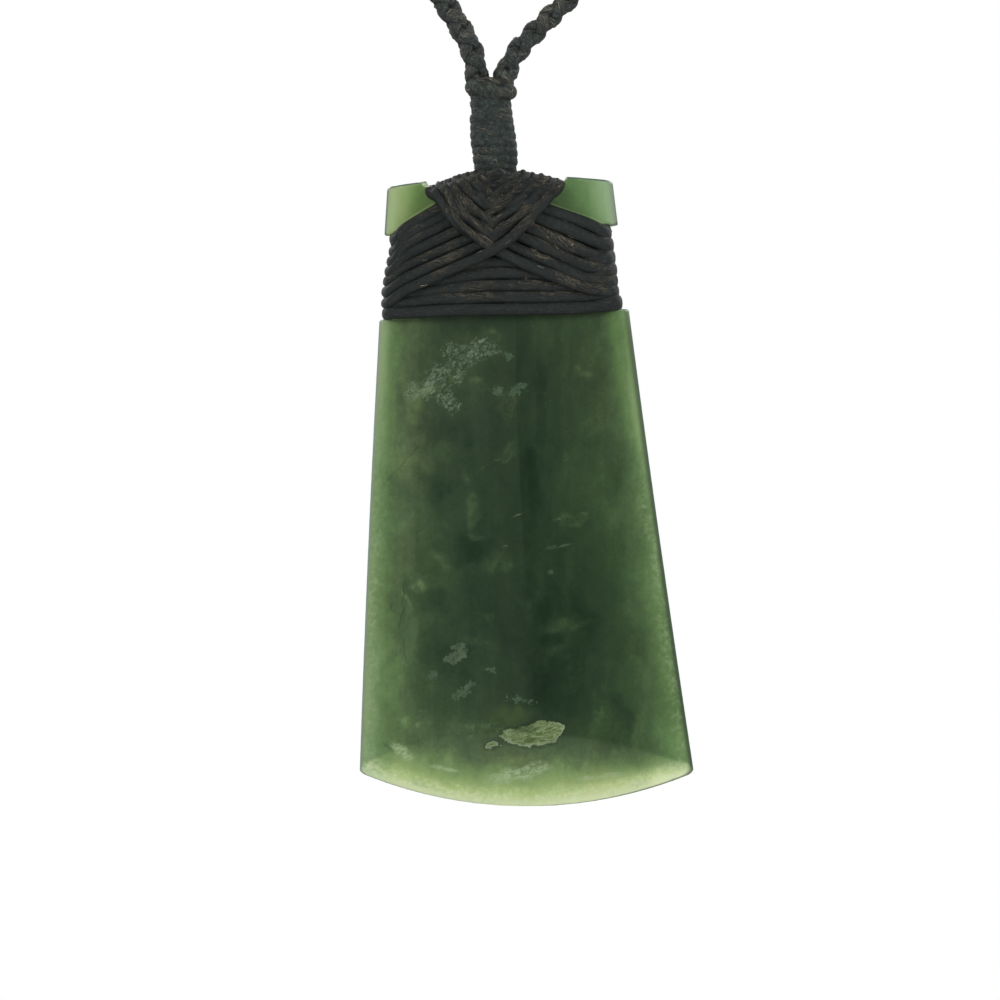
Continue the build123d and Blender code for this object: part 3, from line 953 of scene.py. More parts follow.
def stone_material():
    """Polished greenstone: dark where thick, glowing where thin, with clouds, flakes and cracks."""
    g = Graph("greenstone")
    product, total, span, swing, mix = g.product, g.total, g.span, g.swing, g.mix
    mm = g.vector("MULTIPLY_ADD", g.place, (1 / MM,) * 3, tuple(-PARTING / MM))["Vector"]

    def fields(name):
        return g.parts(g.attribute(name))

    def ragged(field, *limits):
        """A mark's field as a mask with uneven edges."""
        return span(total(field, soft_rag), *limits)

    def stops(colours, deepest=1.0):
        return [(place / deepest, gem(*colour)) for place, colour in colours]

    depth = g.attribute("depth", "Fac")
    bevel = g.attribute("bevel", "Fac")
    off_bevel = g.less(1.0, bevel)
    left, right, seam = fields("edges")
    edge = g.least(left, right)
    x, y, z = g.parts(mm)
    front = span(y, 0.4, -0.4)

    # Where light makes it look thinner, at the lugs and upper edges, or thicker, low on the right
    right_half = span(x, *RIGHT_SHADE_X)
    shaded = product(right_half, off_bevel, span(z, *RIGHT_SHADE_Z, 0.0, RIGHT_SHADE))
    least = product(right_half, off_bevel, span(z, *RIGHT_LEAST_Z, 0.0, RIGHT_LEAST))
    lug = span(z, *LUG_Z)
    off_lug = g.less(1.0, lug)
    right_glow = product(span(right, *GLOW_REACH), span(right, *GLOW_RIM))
    glow = total(
        product(lug, span(edge, *LUG_REACH, *LUG_GLOW)),
        product(span(left, *LEFT_REACH), span(z, *LEFT_GLOW_Z, *LEFT_GLOW), off_lug),
        product(right_glow, span(z, *RIGHT_GLOW_Z, 0.0, RIGHT_GLOW), off_lug),
    )
    inward = span(edge, *LOW_GLOW_REACH)
    lighter = total(
        span(z, *LIGHTER_Z, 0.0, LIGHTER),
        product(inward, span(z, *LOW_GLOW_Z, 0.0, LOW_GLOW)),
    )
    depth = g.less(total(g.most(depth, least), shaded), glow)
    depth = g.less(depth, product(lighter, off_bevel))

    # Broad clouds, upright grain, fine mottle, the seam, veils and pale clouds
    cloud = g.noise(g.scaled(mm, (1.0, 0.6, 0.55)), 0.3, 4.0, 0.55, 0.5)
    grain = g.noise(g.scaled(mm, (0.8, 0.5, 0.05)), 1.0, 3.0, 0.6, 0.2)
    mottle = g.noise(g.scaled(mm, (1.0, 0.6, 0.8)), 1.3, 5.0, 0.6, 0.3)
    speckle = g.noise(mm, 4.0, 3.0, 0.6)
    rag = g.noise(mm, 0.7, 5.0, 0.68, 0.3)
    fine_rag = g.noise(mm, 2.2, 4.0, 0.65, 0.3)
    soft_rag = swing(rag, 0.3)
    dark, pale, olive = fields("veils")
    back_flecks, back_flakes, back_clouds = fields("back_marks")
    blur = span(z, -44.0, -56.0, 0.12, 1.3)
    seam_edge = product(span(g.math("DIVIDE", seam, blur), -0.9, 1.0), front, off_bevel)
    pale = ragged(g.most(pale, back_clouds), -0.1, 0.8, 0.0, 1.3)
    change = total(
        swing(cloud, 0.6),
        swing(grain, 0.2),
        swing(mottle, 0.3),
        swing(speckle, 0.16),
        ragged(dark, -0.3, 0.9, 0.0, 1.1),
        product(seam_edge, span(seam, 1.8, 0.3, 0.25, 1.0), SEAM_DEPTH),
    )
    change = g.less(change, product(pale, span(mottle, 0.38, 0.62, 0.2, 1.25)))
    change = product(change, span(depth, 0.8, 4.0, 0.2, 1.0))
    seen = g.math("DIVIDE", total(depth, change), STONE_DEEPEST)
    face_tone = g.ramp(seen, stops(FACE_COLOURS, STONE_DEEPEST))
    bevel_tone = g.ramp(seen, stops(BEVEL_COLOURS, STONE_DEEPEST))
    corner = product(span(g.size(x), *CORNER_X), span(z, *CORNER_Z), CORNER_SHARE)
    tone = mix(g.less(bevel, product(bevel, corner)), face_tone, bevel_tone)

    def paint(mask, colour, blend="MIX"):
        nonlocal tone
        tone = mix(mask, tone, colour, blend)

    # Tints of its parts: olive and blue-green, right of the seam, the upper face, the bevel's
    # right end, the two low corners and the left half
    tint = g.noise(g.scaled(mm, (1.0, 0.6, 0.5)), 0.22, 3.0, 0.5)
    olive = g.most(ragged(olive, 0.0, 0.8), span(tint, 0.55, 0.72))
    left_half = product(span(x, 2.0, -2.0), span(depth, 1.8, 3.6), span(z, -27.0, -33.0, 0.2, 1.0))
    for mask, colour in (
        (product(olive, 0.5), (1.14, 0.99, 0.96)),
        (span(tint, 0.45, 0.3, 0.0, 0.5), (0.9, 1.0, 1.05)),
        (seam_edge, (0.95, 1.0, 0.95)),
        (product(span(z, *GREYER_Z), off_bevel, span(depth, 2.4, 4.2)), (1.06, 0.965, 1.1)),
        (product(bevel, span(x, 0.0, 8.0), span(depth, 3.0, 1.4)), (1.09, 1.07, 1.13)),
        (product(span(x, *RIGHT_CORNER_X), span(z, *RIGHT_CORNER_Z)), (1.2, 1.18, 1.2)),
        (product(bevel, span(x, *LEFT_CORNER_X)), (0.92, 0.94, 0.9)),
        (product(left_half, off_bevel), (1.22, 1.17, 1.26)),
    ):
        paint(mask, (*colour, 1.0), "MULTIPLY")
    paint(lug, mix(span(x, -1.0, 1.0), (1.06, 1.09, 0.9, 1.0), (1.03, 1.05, 1.12, 1.0)), "MULTIPLY")
    stain, smudge, specks = fields("tones")
    paint(ragged(smudge, -0.1, 0.9, 0.0, 0.7), gem(72, 90, 56))

    # Crusts of paler stone, with facets along a slope and dark cracks
    crust_in, plain_in, flake_in = fields("outlines")
    small, streak, thin = fields("flecks")
    bend = g.scaled(g.noise(mm, 1.6, 3.0, 0.5, output="Color"), CRUST_BEND)
    bent = g.vector("ADD", g.sloped(mm, 36, 1.0, 0.62), bend)["Vector"]
    blobs = g.noise(bent, 1.0, 6.0, 0.7, 0.6)
    joints = g.cells(bent, CRUST_CELLS, "DISTANCE_TO_EDGE")["Distance"]
    crystal = total(
        product(blobs, 0.7),
        product(g.channel(g.cells(bent, CRUST_CELLS)["Color"], "Red"), 0.18),
        swing(speckle, 0.12),
        span(joints, 0.0, 0.14, -0.12, 0.06),
    )
    paint(span(total(crust_in, swing(rag, 0.6)), -1.1, 0.6, 0.0, 0.6), gem(64, 80, 57))
    crust_in = total(crust_in, swing(fine_rag, 0.4))
    crust_mask = product(span(crust_in, -0.14, 0.24), span(crystal, 0.28, 0.42, 0.35, 0.92))
    stain = ragged(stain, 0.0, 0.7)
    stained = mix(crystal, gem(84, 104, 70), gem(130, 151, 114))
    crust = mix(product(stain, 0.6), g.ramp(crystal, stops(CRUST_COLOURS)), stained)
    paint(product(stain, 0.62), mix(span(rag, 0.35, 0.6), gem(84, 100, 58), gem(100, 122, 82)))
    paint(crust_mask, crust)
    small = total(g.most(small, back_flecks), swing(fine_rag, 0.75))
    paint(span(small, 0.1, 0.5, 0.0, 0.75), mix(crystal, gem(56, 76, 56), gem(106, 126, 102)))
    plain = span(total(plain_in, swing(fine_rag, 0.26)), -0.03, 0.08, 0.0, 0.9)
    paint(plain, mix(span(blobs, 0.35, 0.62), gem(62, 80, 60), gem(92, 109, 86)))

    # The large flake: fine lines along it, a clearer patch, a painted shadow just outside it, and a
    # painted highlight along its edge low and right
    offset, reach, window = fields("crack")
    lines = g.noise(g.sloped(mm, 12, 1.0, 0.3), 1.0, 6.0, 0.74, 1.3)
    flake_in = total(g.most(flake_in, product(back_flakes, 0.8)), soft_rag)
    flake = product(span(flake_in, -0.03, 0.1), ragged(window, -0.4, 0.7, 0.95, 0.4))
    # Painted highlight along the flake's edge, below its middle and at its right end
    low_side = g.most(span(z, *FLAKE_MIDDLE_Z), span(x, *FLAKE_END_X))
    flake_edge_highlight = product(span(flake_in, 0.26, 0.06), span(flake_in, -0.03, 0.06), low_side)
    # Painted shadow: a dark line just outside the flake
    paint(product(span(flake_in, -0.3, -0.02), 0.45), gem(38, 52, 38))
    paint(flake, g.ramp(lines, stops(FLAKE_COLOURS)))
    paint(product(flake_edge_highlight, 0.75), gem(146, 160, 132))

    # Pale streaks in the bevel and thin ones on the face
    slant = g.noise(g.sloped(mm, 18, 0.9, 0.34), 1.0, 6.0, 0.72, 1.2)
    streak = product(ragged(streak, -0.2, 0.45), span(slant, 0.38, 0.56, 0.05, 1.0))
    paint(product(streak, 0.85), gem(166, 186, 144))
    paint(product(ragged(thin, 0.0, 0.6), span(slant, 0.4, 0.56), 0.7), gem(96, 114, 90))

    # Cracks, dark specks, painted glints along the side edges, the worn bevel edge, pale grit, and
    # painted greyer rim lines along the outer edges, as refraction shows them
    wander = g.size(total(offset, swing(rag, 2.5)))
    paint(product(span(wander, 1.2, 0.3), span(reach, 0.0, 0.3, 0.0, 0.4)), gem(40, 44, 30))
    paint(ragged(specks, 0.1, 0.6, 0.0, 0.6), gem(52, 68, 40))
    # Painted glints speckled along the side edges; the same speckle marks the bevel's worn edge
    edge_speckle = total(product(fine_rag, 0.6), product(rag, 0.25), product(speckle, 0.15))
    edge_glints = product(span(edge_speckle, 0.46, 0.6), span(edge, 2.3, 0.5), span(z, -28.0, -50.0, 0.1, 0.3))
    paint(edge_glints, gem(172, 190, 146))
    worn_edge = product(span(edge_speckle, 0.44, 0.6), bevel, span(depth, 2.4, 1.0))
    paint(product(worn_edge, 0.5), gem(226, 236, 194))
    dust = g.cells(mm, 1.1)
    rare = g.math("GREATER_THAN", g.channel(dust["Color"], "Green"), 0.9)
    paint(product(span(dust["Distance"], 0.08, 0.03), rare, 0.35), gem(110, 128, 100))
    # Painted rim lines, as refraction shows the outline: pale along the left edge, dark along the right
    paint(product(span(left, 0.38, 0.08), 0.75), gem(126, 145, 134))
    paint(product(span(right, 0.75, 0.1), span(z, -20.0, -26.0, 0.5, 1.0), 0.85), gem(62, 80, 64))

    # The lugs: a pale line along the lashing, a painted grey outline as refraction shows their edges,
    # and the chips
    top, lashed, chips = fields("rims")
    line = product(lug, span(lashed, 0.26, 0.06), span(lashed, -0.1, 0.02), front)
    paint(product(line, 0.6), gem(160, 184, 122))
    # Painted outline where the lugs' surface turns sideways at their edges, as refraction shows it
    normal_x, _, normal_z = g.normal()
    endwise = g.most(g.size(normal_x), g.size(normal_z))
    rim = product(lug, span(g.least(top, edge), *LUG_OUTLINE), span(endwise, 0.985, 0.93, 0.15, 1.0))
    paint(product(rim, 0.85), gem(88, 108, 98))
    chip = span(total(chips, swing(fine_rag, 0.5)), 0.05, 0.3)
    paint(product(chip, 0.9), mix(span(lines, 0.4, 0.6), gem(150, 168, 124), gem(214, 222, 196)))

    scratch = g.noise(g.scaled(mm, (0.5, 0.5, 3.0)), 6.0, 3.0, 0.6)
    rough = span(mottle, *NOISE_RANGE, 0.3, 0.42, False)
    height = total(product(scratch, 0.12), product(crystal, crust_mask), product(flake, lines, 0.8))
    return g.finish(
        Base_Color=tone,
        Roughness=total(rough, product(g.most(crust_mask, flake), 0.12)),
        Normal=g.bump(height, 0.35, 0.00008),
        Specular_IOR_Level=0.2,
    )


# The greenstone blade

STONE_VOXEL = 0.215
STONE_SOFTEN = 2
BEVEL_TOP = -61.0
BEVEL_PROBE = 0.35
BEVEL_SLOPES = (0.1, 0.27)
OUTLINE_ROWS = 300
OUTLINE_Y = (-0.4, 0, 0.4)
BACKWARDS = (0, 1, 0)


def read_mesh(mesh):
    """The places of a mesh's points, in millimetres from the parting of the braids."""
    points = np.empty(len(mesh.vertices) * 3)
    mesh.vertices.foreach_get("co", points)
    return from_world(points.reshape(-1, 3))


solid = next(o for o in bpy.data.objects if o.type == "MESH" and o.name.startswith("toki_blade"))
solid_faces = [list(polygon.vertices) for polygon in solid.data.polygons]
blade_tree = BVHTree.FromPolygons(read_mesh(solid.data).tolist(), solid_faces)


def blade_hit(start, direction):
    """Where a ray from a place meets the stone, or None."""
    return blade_tree.ray_cast(Vector(start), Vector(direction))[0]


def half_depth(x, z):
    """Half of the stone's thickness at a place seen from the front, or None beside the stone."""
    hit = blade_hit((x, -20, z), BACKWARDS)
    return None if hit is None else -hit.y


def on_bevel(x, z):
    """1 on the cutting bevel and 0 above it, from how fast the stone thins downwards."""
    above, below = half_depth(x, z + BEVEL_PROBE), half_depth(x, z - BEVEL_PROBE)
    if above is None or below is None:
        return 1.0
    return float(smoothstep((above - below) / (2 * BEVEL_PROBE), *BEVEL_SLOPES))


def edge_distances(points):
    """How far each point is inside the stone's left and right outlines, and right of the seam."""
    heights = np.linspace(points[:, 2].min() + 0.02, points[:, 2].max() - 0.02, OUTLINE_ROWS)
    left, right = np.zeros(OUTLINE_ROWS), np.zeros(OUTLINE_ROWS)
    for index, z in enumerate(heights):
        for side, sign in ((left, -1), (right, 1)):
            hits = [blade_hit((sign * 30, y, z), (-sign, 0, 0)) for y in OUTLINE_Y]
            side[index] = max((abs(hit.x) for hit in hits if hit is not None), default=0.0)
    xs, zs = zip(*(local(*pixel) for pixel in SEAM))
    seam = np.interp(-points[:, 2], [-z for z in zs], xs)
    return [
        points[:, 0] + np.interp(points[:, 2], heights, left),
        np.interp(points[:, 2], heights, right) - points[:, 0],
        points[:, 0] - seam,
    ]


def rim_fields(points):
    """Distances from the front to the lugs' outline and to the lashing's upper edge, and the chips."""
    top = np.full(len(points), OFF_LUGS)
    for index in np.where(points[:, 2] > LUG_Z[0])[0]:
        x, _, z = points[index]
        hit = blade_hit((x, 0.0, 30.0), (0, 0, -1))
        if hit is not None:
            top[index] = max(hit.z - z, 0.0)
    sides = [from_path(points, turn[2:]) for turn in (FALLING_LEFT[0], FALLING_RIGHT[0])]
    lashed = np.min(sides, axis=0) - LEVEL_HALF_WIDTH
    return [top, lashed, inside_marks(points, LUG_CHIPS, -1)]


def make_blade(material):
    """The blade as an even mesh on its solid's surface, with how thick it is at each point."""
    piece = linked("greenstone_blade", solid.data.copy())
    remesh = piece.modifiers.new("remesh", "REMESH")
    remesh.mode = "VOXEL"
    remesh.voxel_size = STONE_VOXEL * MM
    smooth = piece.modifiers.new("smooth", "SMOOTH")
    smooth.factor = 0.5
    smooth.iterations = STONE_SOFTEN
    graph = bpy.context.evaluated_depsgraph_get()
    made = bpy.data.meshes.new_from_object(piece.evaluated_get(graph))
    piece.modifiers.clear()
    piece.data = made
    made.name = "greenstone_blade"
    points = read_mesh(made)
    depth, bevel = np.zeros(len(points)), np.zeros(len(points))
    for index, point in enumerate(points):
        place = blade_tree.find_nearest(Vector(point))[0]
        points[index] = place
        if place.z < BEVEL_TOP:
            bevel[index] = on_bevel(place.x, place.z)
        front = blade_hit((place.x, -20, place.z), BACKWARDS)
        back = blade_hit((place.x, 20, place.z), (0, -1, 0))
        if front is not None and back is not None:
            depth[index] = back.y - front.y
    made.vertices.foreach_set("co", world(points).ravel())
    add_layer(made, "depth", depth)
    add_layer(made, "bevel", bevel)
    triples = mark_fields(points)
    triples["edges"] = edge_distances(points)
    triples["rims"] = rim_fields(points)
    for name, parts in triples.items():
        add_layer(made, name, np.stack(parts, axis=1))
    return finish_mesh(piece, material)


# Lashing. Each strand's middle line as seen in the photograph, in its pixels, from the top of
# the blade down to the side it goes round. The first point is its crest over the top groove.

FALLING_LEFT = [
    [
        (504, 174), (500, 176), (491, 180), (465, 194), (440, 210), (425, 218.5), (405, 231),
        (395, 240),
    ],
    [
        (514, 174), (506, 182), (491, 191), (465, 206), (440, 219.5), (425, 227.5), (405, 240),
        (394, 252),
    ],
    [
        (523, 175), (514, 186), (503, 195), (491, 203.5), (465, 217), (425, 237), (405, 249),
        (392, 262),
    ],
    [
        (532, 177.5), (523, 189), (512, 199), (491, 215), (470, 227.5), (425, 248), (405, 259),
        (390, 272),
    ],
    [
        (541, 178.5), (532, 191), (521, 203), (509, 214), (491, 228), (470, 240), (425, 260),
        (405, 270), (388.5, 282),
    ],
    [
        (549, 181), (540, 194), (531, 205), (521, 215.5), (491, 241), (470, 252), (425, 272),
        (405, 281), (387, 292.5),
    ],
    [
        (557, 183), (549.5, 197), (541, 208.5), (519, 232.5), (507, 244), (491, 254), (470, 264),
        (450, 272.5), (425, 283.5), (405, 292.5), (386.5, 303.5),
    ],
]
FALLING_RIGHT = [
    [
        (476, 175.5), (482, 180), (491, 185.5), (515, 197.5), (540, 209), (560, 216.8),
        (590, 227.2), (606.2, 233.8),
    ],
    [
        (468, 177), (474, 184), (481, 190.5), (490, 197), (513, 208.5), (536, 219), (569, 232),
        (590, 241.5), (608.5, 246.3),
    ],
    [
        (460, 179.5), (465, 188), (472, 195.5), (480, 202.5), (489, 209), (528, 229), (569, 248),
        (590, 257), (610.2, 259),
    ],
    [
        (451, 183), (454, 191), (460, 199), (468, 207.5), (487, 221.5), (517, 237), (545, 250),
        (569, 262), (585, 268.5), (611.4, 271),
    ],
    [
        (443.5, 186), (446, 194), (451, 202.5), (458, 211), (468, 221), (487, 235), (508, 246.5),
        (531, 257.5), (569, 274), (585, 280.5), (612.6, 281.6),
    ],
    [
        (434, 189.5), (438.5, 199), (444, 208), (452, 218), (461, 228), (484, 244.5), (497, 252.5),
        (513, 261), (545, 274.5), (569, 284), (590, 290.5), (613.6, 292),
    ],
]
LEVEL_TURNS = [
    [
        (387.5, 314), (415, 313.2), (450, 311.8), (491, 311), (530, 310.8), (560, 309.7),
        (590, 308), (616.8, 303.8),
    ],
    [
        (388, 304.5), (410, 303), (440, 300.8), (491, 299.3), (530, 299.2), (560, 298.5),
        (590, 297), (613.5, 293),
    ],
    [
        (389, 296), (420, 294), (450, 290), (491, 287.5), (530, 287.5), (560, 288), (590, 286),
        (611.5, 282.5),
    ],
    [
        (390.5, 287), (430, 283), (491, 275.5), (530, 276), (570, 279), (592, 276), (610.5, 272),
    ],
    [
        (392, 278), (430, 272), (491, 264), (530, 265), (570, 268), (592, 263.5), (609.5, 260),
    ],
]
# Inner turns that only fill between the others: pixel y, left and right pixel x
INNER_TURNS = [(y, 397 - (y - 236) * 0.1, 602 + (y - 236) * 0.1) for y in range(236, 300, 8)]

# The strands' sections, the plies that stand out of them, and where the crossing ones meet
STRAND_HALF_WIDTH = 0.535
STRAND_SQUARE = 2.15
STRAND_HALF_THICKNESS = 0.5
STRAND_RELIEF = 0.02
ARM_RELIEF = 0.13
ARM_REACH = 1.4
ARM_LAY = 13.0
CREST_THINNER = 0.14
CREST_PLY_Z = (-12.4, -11.6)
CREST_PLY_RADIUS = 0.18
CREST_PLY_COIL = 0.14
CREST_PLY_LIFT = 0.19
CREST_PLY_PITCH = 1.25
CREST_PLY_STEP = 0.1
RIGHT_FAN_HALF_WIDTHS = [0.6, 0.66, 0.68, 0.64, 0.58, 0.58]
LEVEL_HALF_WIDTH = 0.6
CROSSING_X = 491.0
CROSSING_REACH = 15.0
FAN_EDGES = (local(520, 0)[0], local(548, 0)[0])

# How many strands up the crossing strands lie: all of them, their upper arms, each one more
# than the last near the crossing, and where they go over the level turns. Then the same for the
# level turns. Reaches and X are in the photograph's pixels.
CROSSED_LAYERS = 0.55
ARM_LIFT = 0.84
STACK_STEP = 0.04
STACK_REACH = 22
OVER_TURNS_LIFT = 0.62
OVER_TURNS_REACH = 9
LEFT_SIDE_X = (388, 400)
RIGHT_SIDE_X = (588, 602)
LEVEL_LAYERS = 0.5
LEVEL_RISE = 0.55
LEVEL_RISE_X = (586, 600)

# The stone as the strands go round it, and how they lie over its top and round its sides
BLADE_REACH = 10.9
BLADE_HALF = 2.6
LEAST_HALF = 1.9
NOTCH_X = (8.0, 16)
NOTCH_HALF = 1.8
CREST_Z = -11.2
CREST_REACH = 2.9
CREST_WIDER = 0.14
CREST_WIDER_Z = (-11.9, -11.2)
SIDE_CORNER = 0.36
SIDE_CLEAR = 0.2
SIDE_FLAT = 0.55
SIDE_WIDER = 0.2
SIDE_WIDER_X = (local(594, 0)[0], local(607, 0)[0])
STRAND_STEP = 0.2
WAVER_SPACING = 2.5


def turn_height(pixel_x, turn):
    xs, ys = zip(*turn)
    return float(np.interp(pixel_x, xs, ys))


def resting(x, z, layers):
    """Y of a strand's middle line on the front face, so many strands up."""
    half = half_depth(x, min(z, CREST_Z))
    return -((half or LEAST_HALF) + layers * 2 * STRAND_HALF_THICKNESS)


def waver(line, amount):
    """Small smooth wanderings of a closed line, as in thread wound by hand."""
    count = max(6, int(len(line) * STRAND_STEP / WAVER_SPACING))
    knots = np.array([[random.uniform(-amount, amount) for _ in range(3)] for _ in range(count)])
    knots = np.vstack([knots, knots[:1]])
    places = np.linspace(0, count, len(line), endpoint=False)
    low = np.floor(places).astype(int)
    share = smoothstep(places - low, 0, 1)[:, None]
    return line + knots[low] * (1 - share) + knots[low + 1] * share


def front_points(pixels, layers_at):
    points = []
    for pixel_x, pixel_y in pixels:
        x, z = local(pixel_x, pixel_y)
        points.append((x, resting(x, z, layers_at(pixel_x, pixel_y)), z))
    return points


def side_half(sign, z):
    """Half thickness of the stone just inside the notch at a height."""
    x = sign * NOTCH_X[0]
    last = NOTCH_HALF
    while abs(x) < NOTCH_X[1]:
        half = half_depth(x, z)
        if half is None:
            break
        last = half
        x += sign * 0.1
    return last


def round_side(pixel, lift):
    """Points that go round the stone's side from front to back, the outermost at a pixel."""
    x, z = local(*pixel)
    sign = -1 if x < 0 else 1
    half = side_half(sign, z)
    corner = x - sign * SIDE_CORNER
    reach = half + SIDE_CLEAR + lift
    flat = half * SIDE_FLAT
    return [(corner, -reach, z), (x, -flat, z), (x, flat, z), (corner, reach, z)]


def over_top(pixel):
    """Points that go over the stone from back to front."""
    x, z = local(*pixel)
    places = ((1, 0.55), (0.45, 0.08), (-0.45, 0.08), (-1, 0.55))
    return [(x, CREST_REACH * share, z - drop) for share, drop in places]


def wound(front, ends, amount):
    """A closed turn: along the front, over one end, along the back and over the other end."""
    back = [(x, -y, z) for x, y, z in reversed(front)]
    line = through([*front, *ends[0], *back, *ends[1]], STRAND_STEP, closed=True)
    return waver(soften(line, 3), amount)


def away_from_blade(line):
    """Direction out of the stone at each point of a strand that goes round it."""
    across = np.sign(line[:, 0]) * (np.abs(line[:, 0]) / BLADE_REACH) ** 9
    through_it = line[:, 1] / BLADE_HALF
    up = np.maximum(0.0, (line[:, 2] - CREST_Z) / 1.2)
    out = np.stack([across, through_it, up], axis=1)
    return out / np.maximum(np.linalg.norm(out, axis=1), 1e-6)[:, None]


def crossing_strand(pixels, order, sign):
    """One strand that falls over the top, crosses the middle and goes round a side."""
    def layers(pixel_x, pixel_y):
        away = (pixel_x - CROSSING_X) * sign
        arm = smoothstep(away, -CROSSING_REACH, CROSSING_REACH)
        stack = order * STACK_STEP * math.exp(-(away / STACK_REACH) ** 2)
        top_turn = turn_height(pixel_x, LEVEL_TURNS[-1]) - 8
        under = smoothstep(pixel_y, top_turn, top_turn + OVER_TURNS_REACH) * OVER_TURNS_LIFT
        if sign > 0:
            side = smoothstep(pixel_x, *LEFT_SIDE_X)
        else:
            side = 1 - smoothstep(pixel_x, *RIGHT_SIDE_X)
        return CROSSED_LAYERS + arm * ARM_LIFT + stack + under * side * (1 - arm)

    front = front_points(pixels[1:-1], layers)
    return wound(front, (round_side(pixels[-1], 0.1), over_top(pixels[0])), 0.035)


def level_turn(pixels, number):
    def layers(pixel_x, _):
        return LEVEL_LAYERS + (smoothstep(pixel_x, *LEVEL_RISE_X) * LEVEL_RISE if number > 1 else 0.0)

    front = front_points(pixels[1:-1], layers)
    right = round_side(pixels[-1], 0.1 if number < 2 else 0.35)
    left = round_side(pixels[0], -0.1 if number > 0 else 0.1)
    return wound(front, (right, reversed(left)), 0.03)


def inner_turn(pixel_y, left, right):
    front = front_points([(x, pixel_y) for x in (left + 8, 440, 491, 540, right - 8)], lambda *_: 0.0)
    right_end, left_end = (round_side((x, pixel_y), -0.35) for x in (right, left))
    return wound(front, (right_end, reversed(left_end)), 0.02)


def at_crest(line):
    """How much wider, pressed flat over the top, a strand's half width is at each point."""
    return CREST_WIDER * smoothstep(line[:, 2], *CREST_WIDER_Z)


def at_right_side(line):
    """How much wider a strand's half width is round the right side, where the turns lie close."""
    return SIDE_WIDER * smoothstep(line[:, 0], *SIDE_WIDER_X)


def arm_relief(line, sign):
    """How far a strand's plies stand out: more in the V, where the waxed thread is worn."""
    return STRAND_RELIEF + ARM_RELIEF * smoothstep(line[:, 0] * sign, -ARM_REACH, ARM_REACH)


def thin_at_crest(line):
    """A strand's half thickness, less over the top, where its twisted plies stand out."""
    return STRAND_HALF_THICKNESS - CREST_THINNER * smoothstep(line[:, 2], *CREST_PLY_Z)


def crest_plies(plies, strand):
    """Two thin plies, twisted together, that stand out of a closed strand along its run over the top."""
    strand = np.roll(strand, -int(np.argmin(strand[:, 2])), axis=0)
    run = resample(strand[strand[:, 2] > CREST_PLY_Z[0]], CREST_PLY_STEP)
    out = away_from_blade(run)
    side = np.cross(unit(np.gradient(run, axis=0)), out)
    shown = smoothstep(run[:, 2], *CREST_PLY_Z)[:, None]
    turns = np.arange(len(run)) * CREST_PLY_STEP / CREST_PLY_PITCH + random.random()
    for share in (0.0, 0.5):
        angle = 2 * math.pi * (turns + share)[:, None]
        away = out * np.cos(angle) + side * np.sin(angle)
        line = run + shown * (out * CREST_PLY_LIFT + away * CREST_PLY_COIL)
        plies.add(line, CREST_PLY_RADIUS, out=away, closed=False, relief=0.0, creased=False)


def make_lashing(material):
    crossed, plies, level, inner = Strands(24), Strands(10), Strands(14), Strands(10)
    last = len(FALLING_LEFT) + len(FALLING_RIGHT) - 1
    for order in range(last + 1):
        falling, sign = (FALLING_RIGHT, -1) if order % 2 else (FALLING_LEFT, 1)
        line = crossing_strand(falling[order // 2], order, sign)
        wide = STRAND_HALF_WIDTH
        if sign < 0:
            fan = smoothstep(line[:, 0], *FAN_EDGES)
            wide = wide + (RIGHT_FAN_HALF_WIDTHS[order // 2] - wide) * fan + at_right_side(line)
        relief = arm_relief(line, sign) if order < last else STRAND_RELIEF
        crossed.add(line, wide + at_crest(line), thin_at_crest(line), away_from_blade(line),
                    lay=ARM_LAY, relief=relief, square=STRAND_SQUARE)
        crest_plies(plies, line)
    for number, pixels in enumerate(LEVEL_TURNS):
        line = level_turn(pixels, number)
        wide = LEVEL_HALF_WIDTH + at_right_side(line)
        level.add(line, wide, STRAND_HALF_THICKNESS, away_from_blade(line), square=STRAND_SQUARE)
    for turn in INNER_TURNS:
        line = inner_turn(*turn)
        inner.add(line, STRAND_HALF_WIDTH, STRAND_HALF_THICKNESS, away_from_blade(line), relief=0.0)
    return [
        crossed.hairs(150, 4, "lashing_fibres", lint),
        crossed.make("crossed_lashing", material),
        plies.make("crest_plies", material),
        level.make("notch_turns", material),
        inner.make("inner_turns", material),
    ]


# Whipping and collar knot

# Each turn: pixel y, left pixel x, right pixel x
WHIPPING_TURNS = [
    (98, 470.5, 511.5),
    (105, 469.5, 511.5),
    (112, 470.5, 512.5),
    (120, 470.0, 514.0),
    (128, 469.5, 515.0),
    (136, 469.5, 516.0),
    (144, 470.5, 516.8),
    (152, 471.5, 517.3),
    (160, 472.5, 517.3),
    (168, 474.0, 517.0),
    (175.5, 474.0, 518.0),
]
WHIPPING_CORE_ENDS = ((84, 474, 508), (180, 474, 516))
WHIPPING_CORE_SIDES = 32
WHIPPING_THIN = 0.42
WHIPPING_WIDE = 0.66
WHIPPING_DEPTH_SHARE = 0.97
WHIPPING_LEAN = 0.035
RING_POINTS = 40


def whipping_row(pixel_y, left, right):
    """Middle x, half width and z of a row of the whipping."""
    (x1, z), (x2, _) = local(left, pixel_y), local(right, pixel_y)
    return (x1 + x2) / 2, (x2 - x1) / 2, z


def ring(centre, half_x, half_y, z, lean, count):
    """A turn round the hanging line. lean tips its right side down."""
    angles = round_angles(count)
    across = half_x * np.cos(angles)
    return np.stack([centre + across, half_y * np.sin(angles), z - lean * across], axis=1)


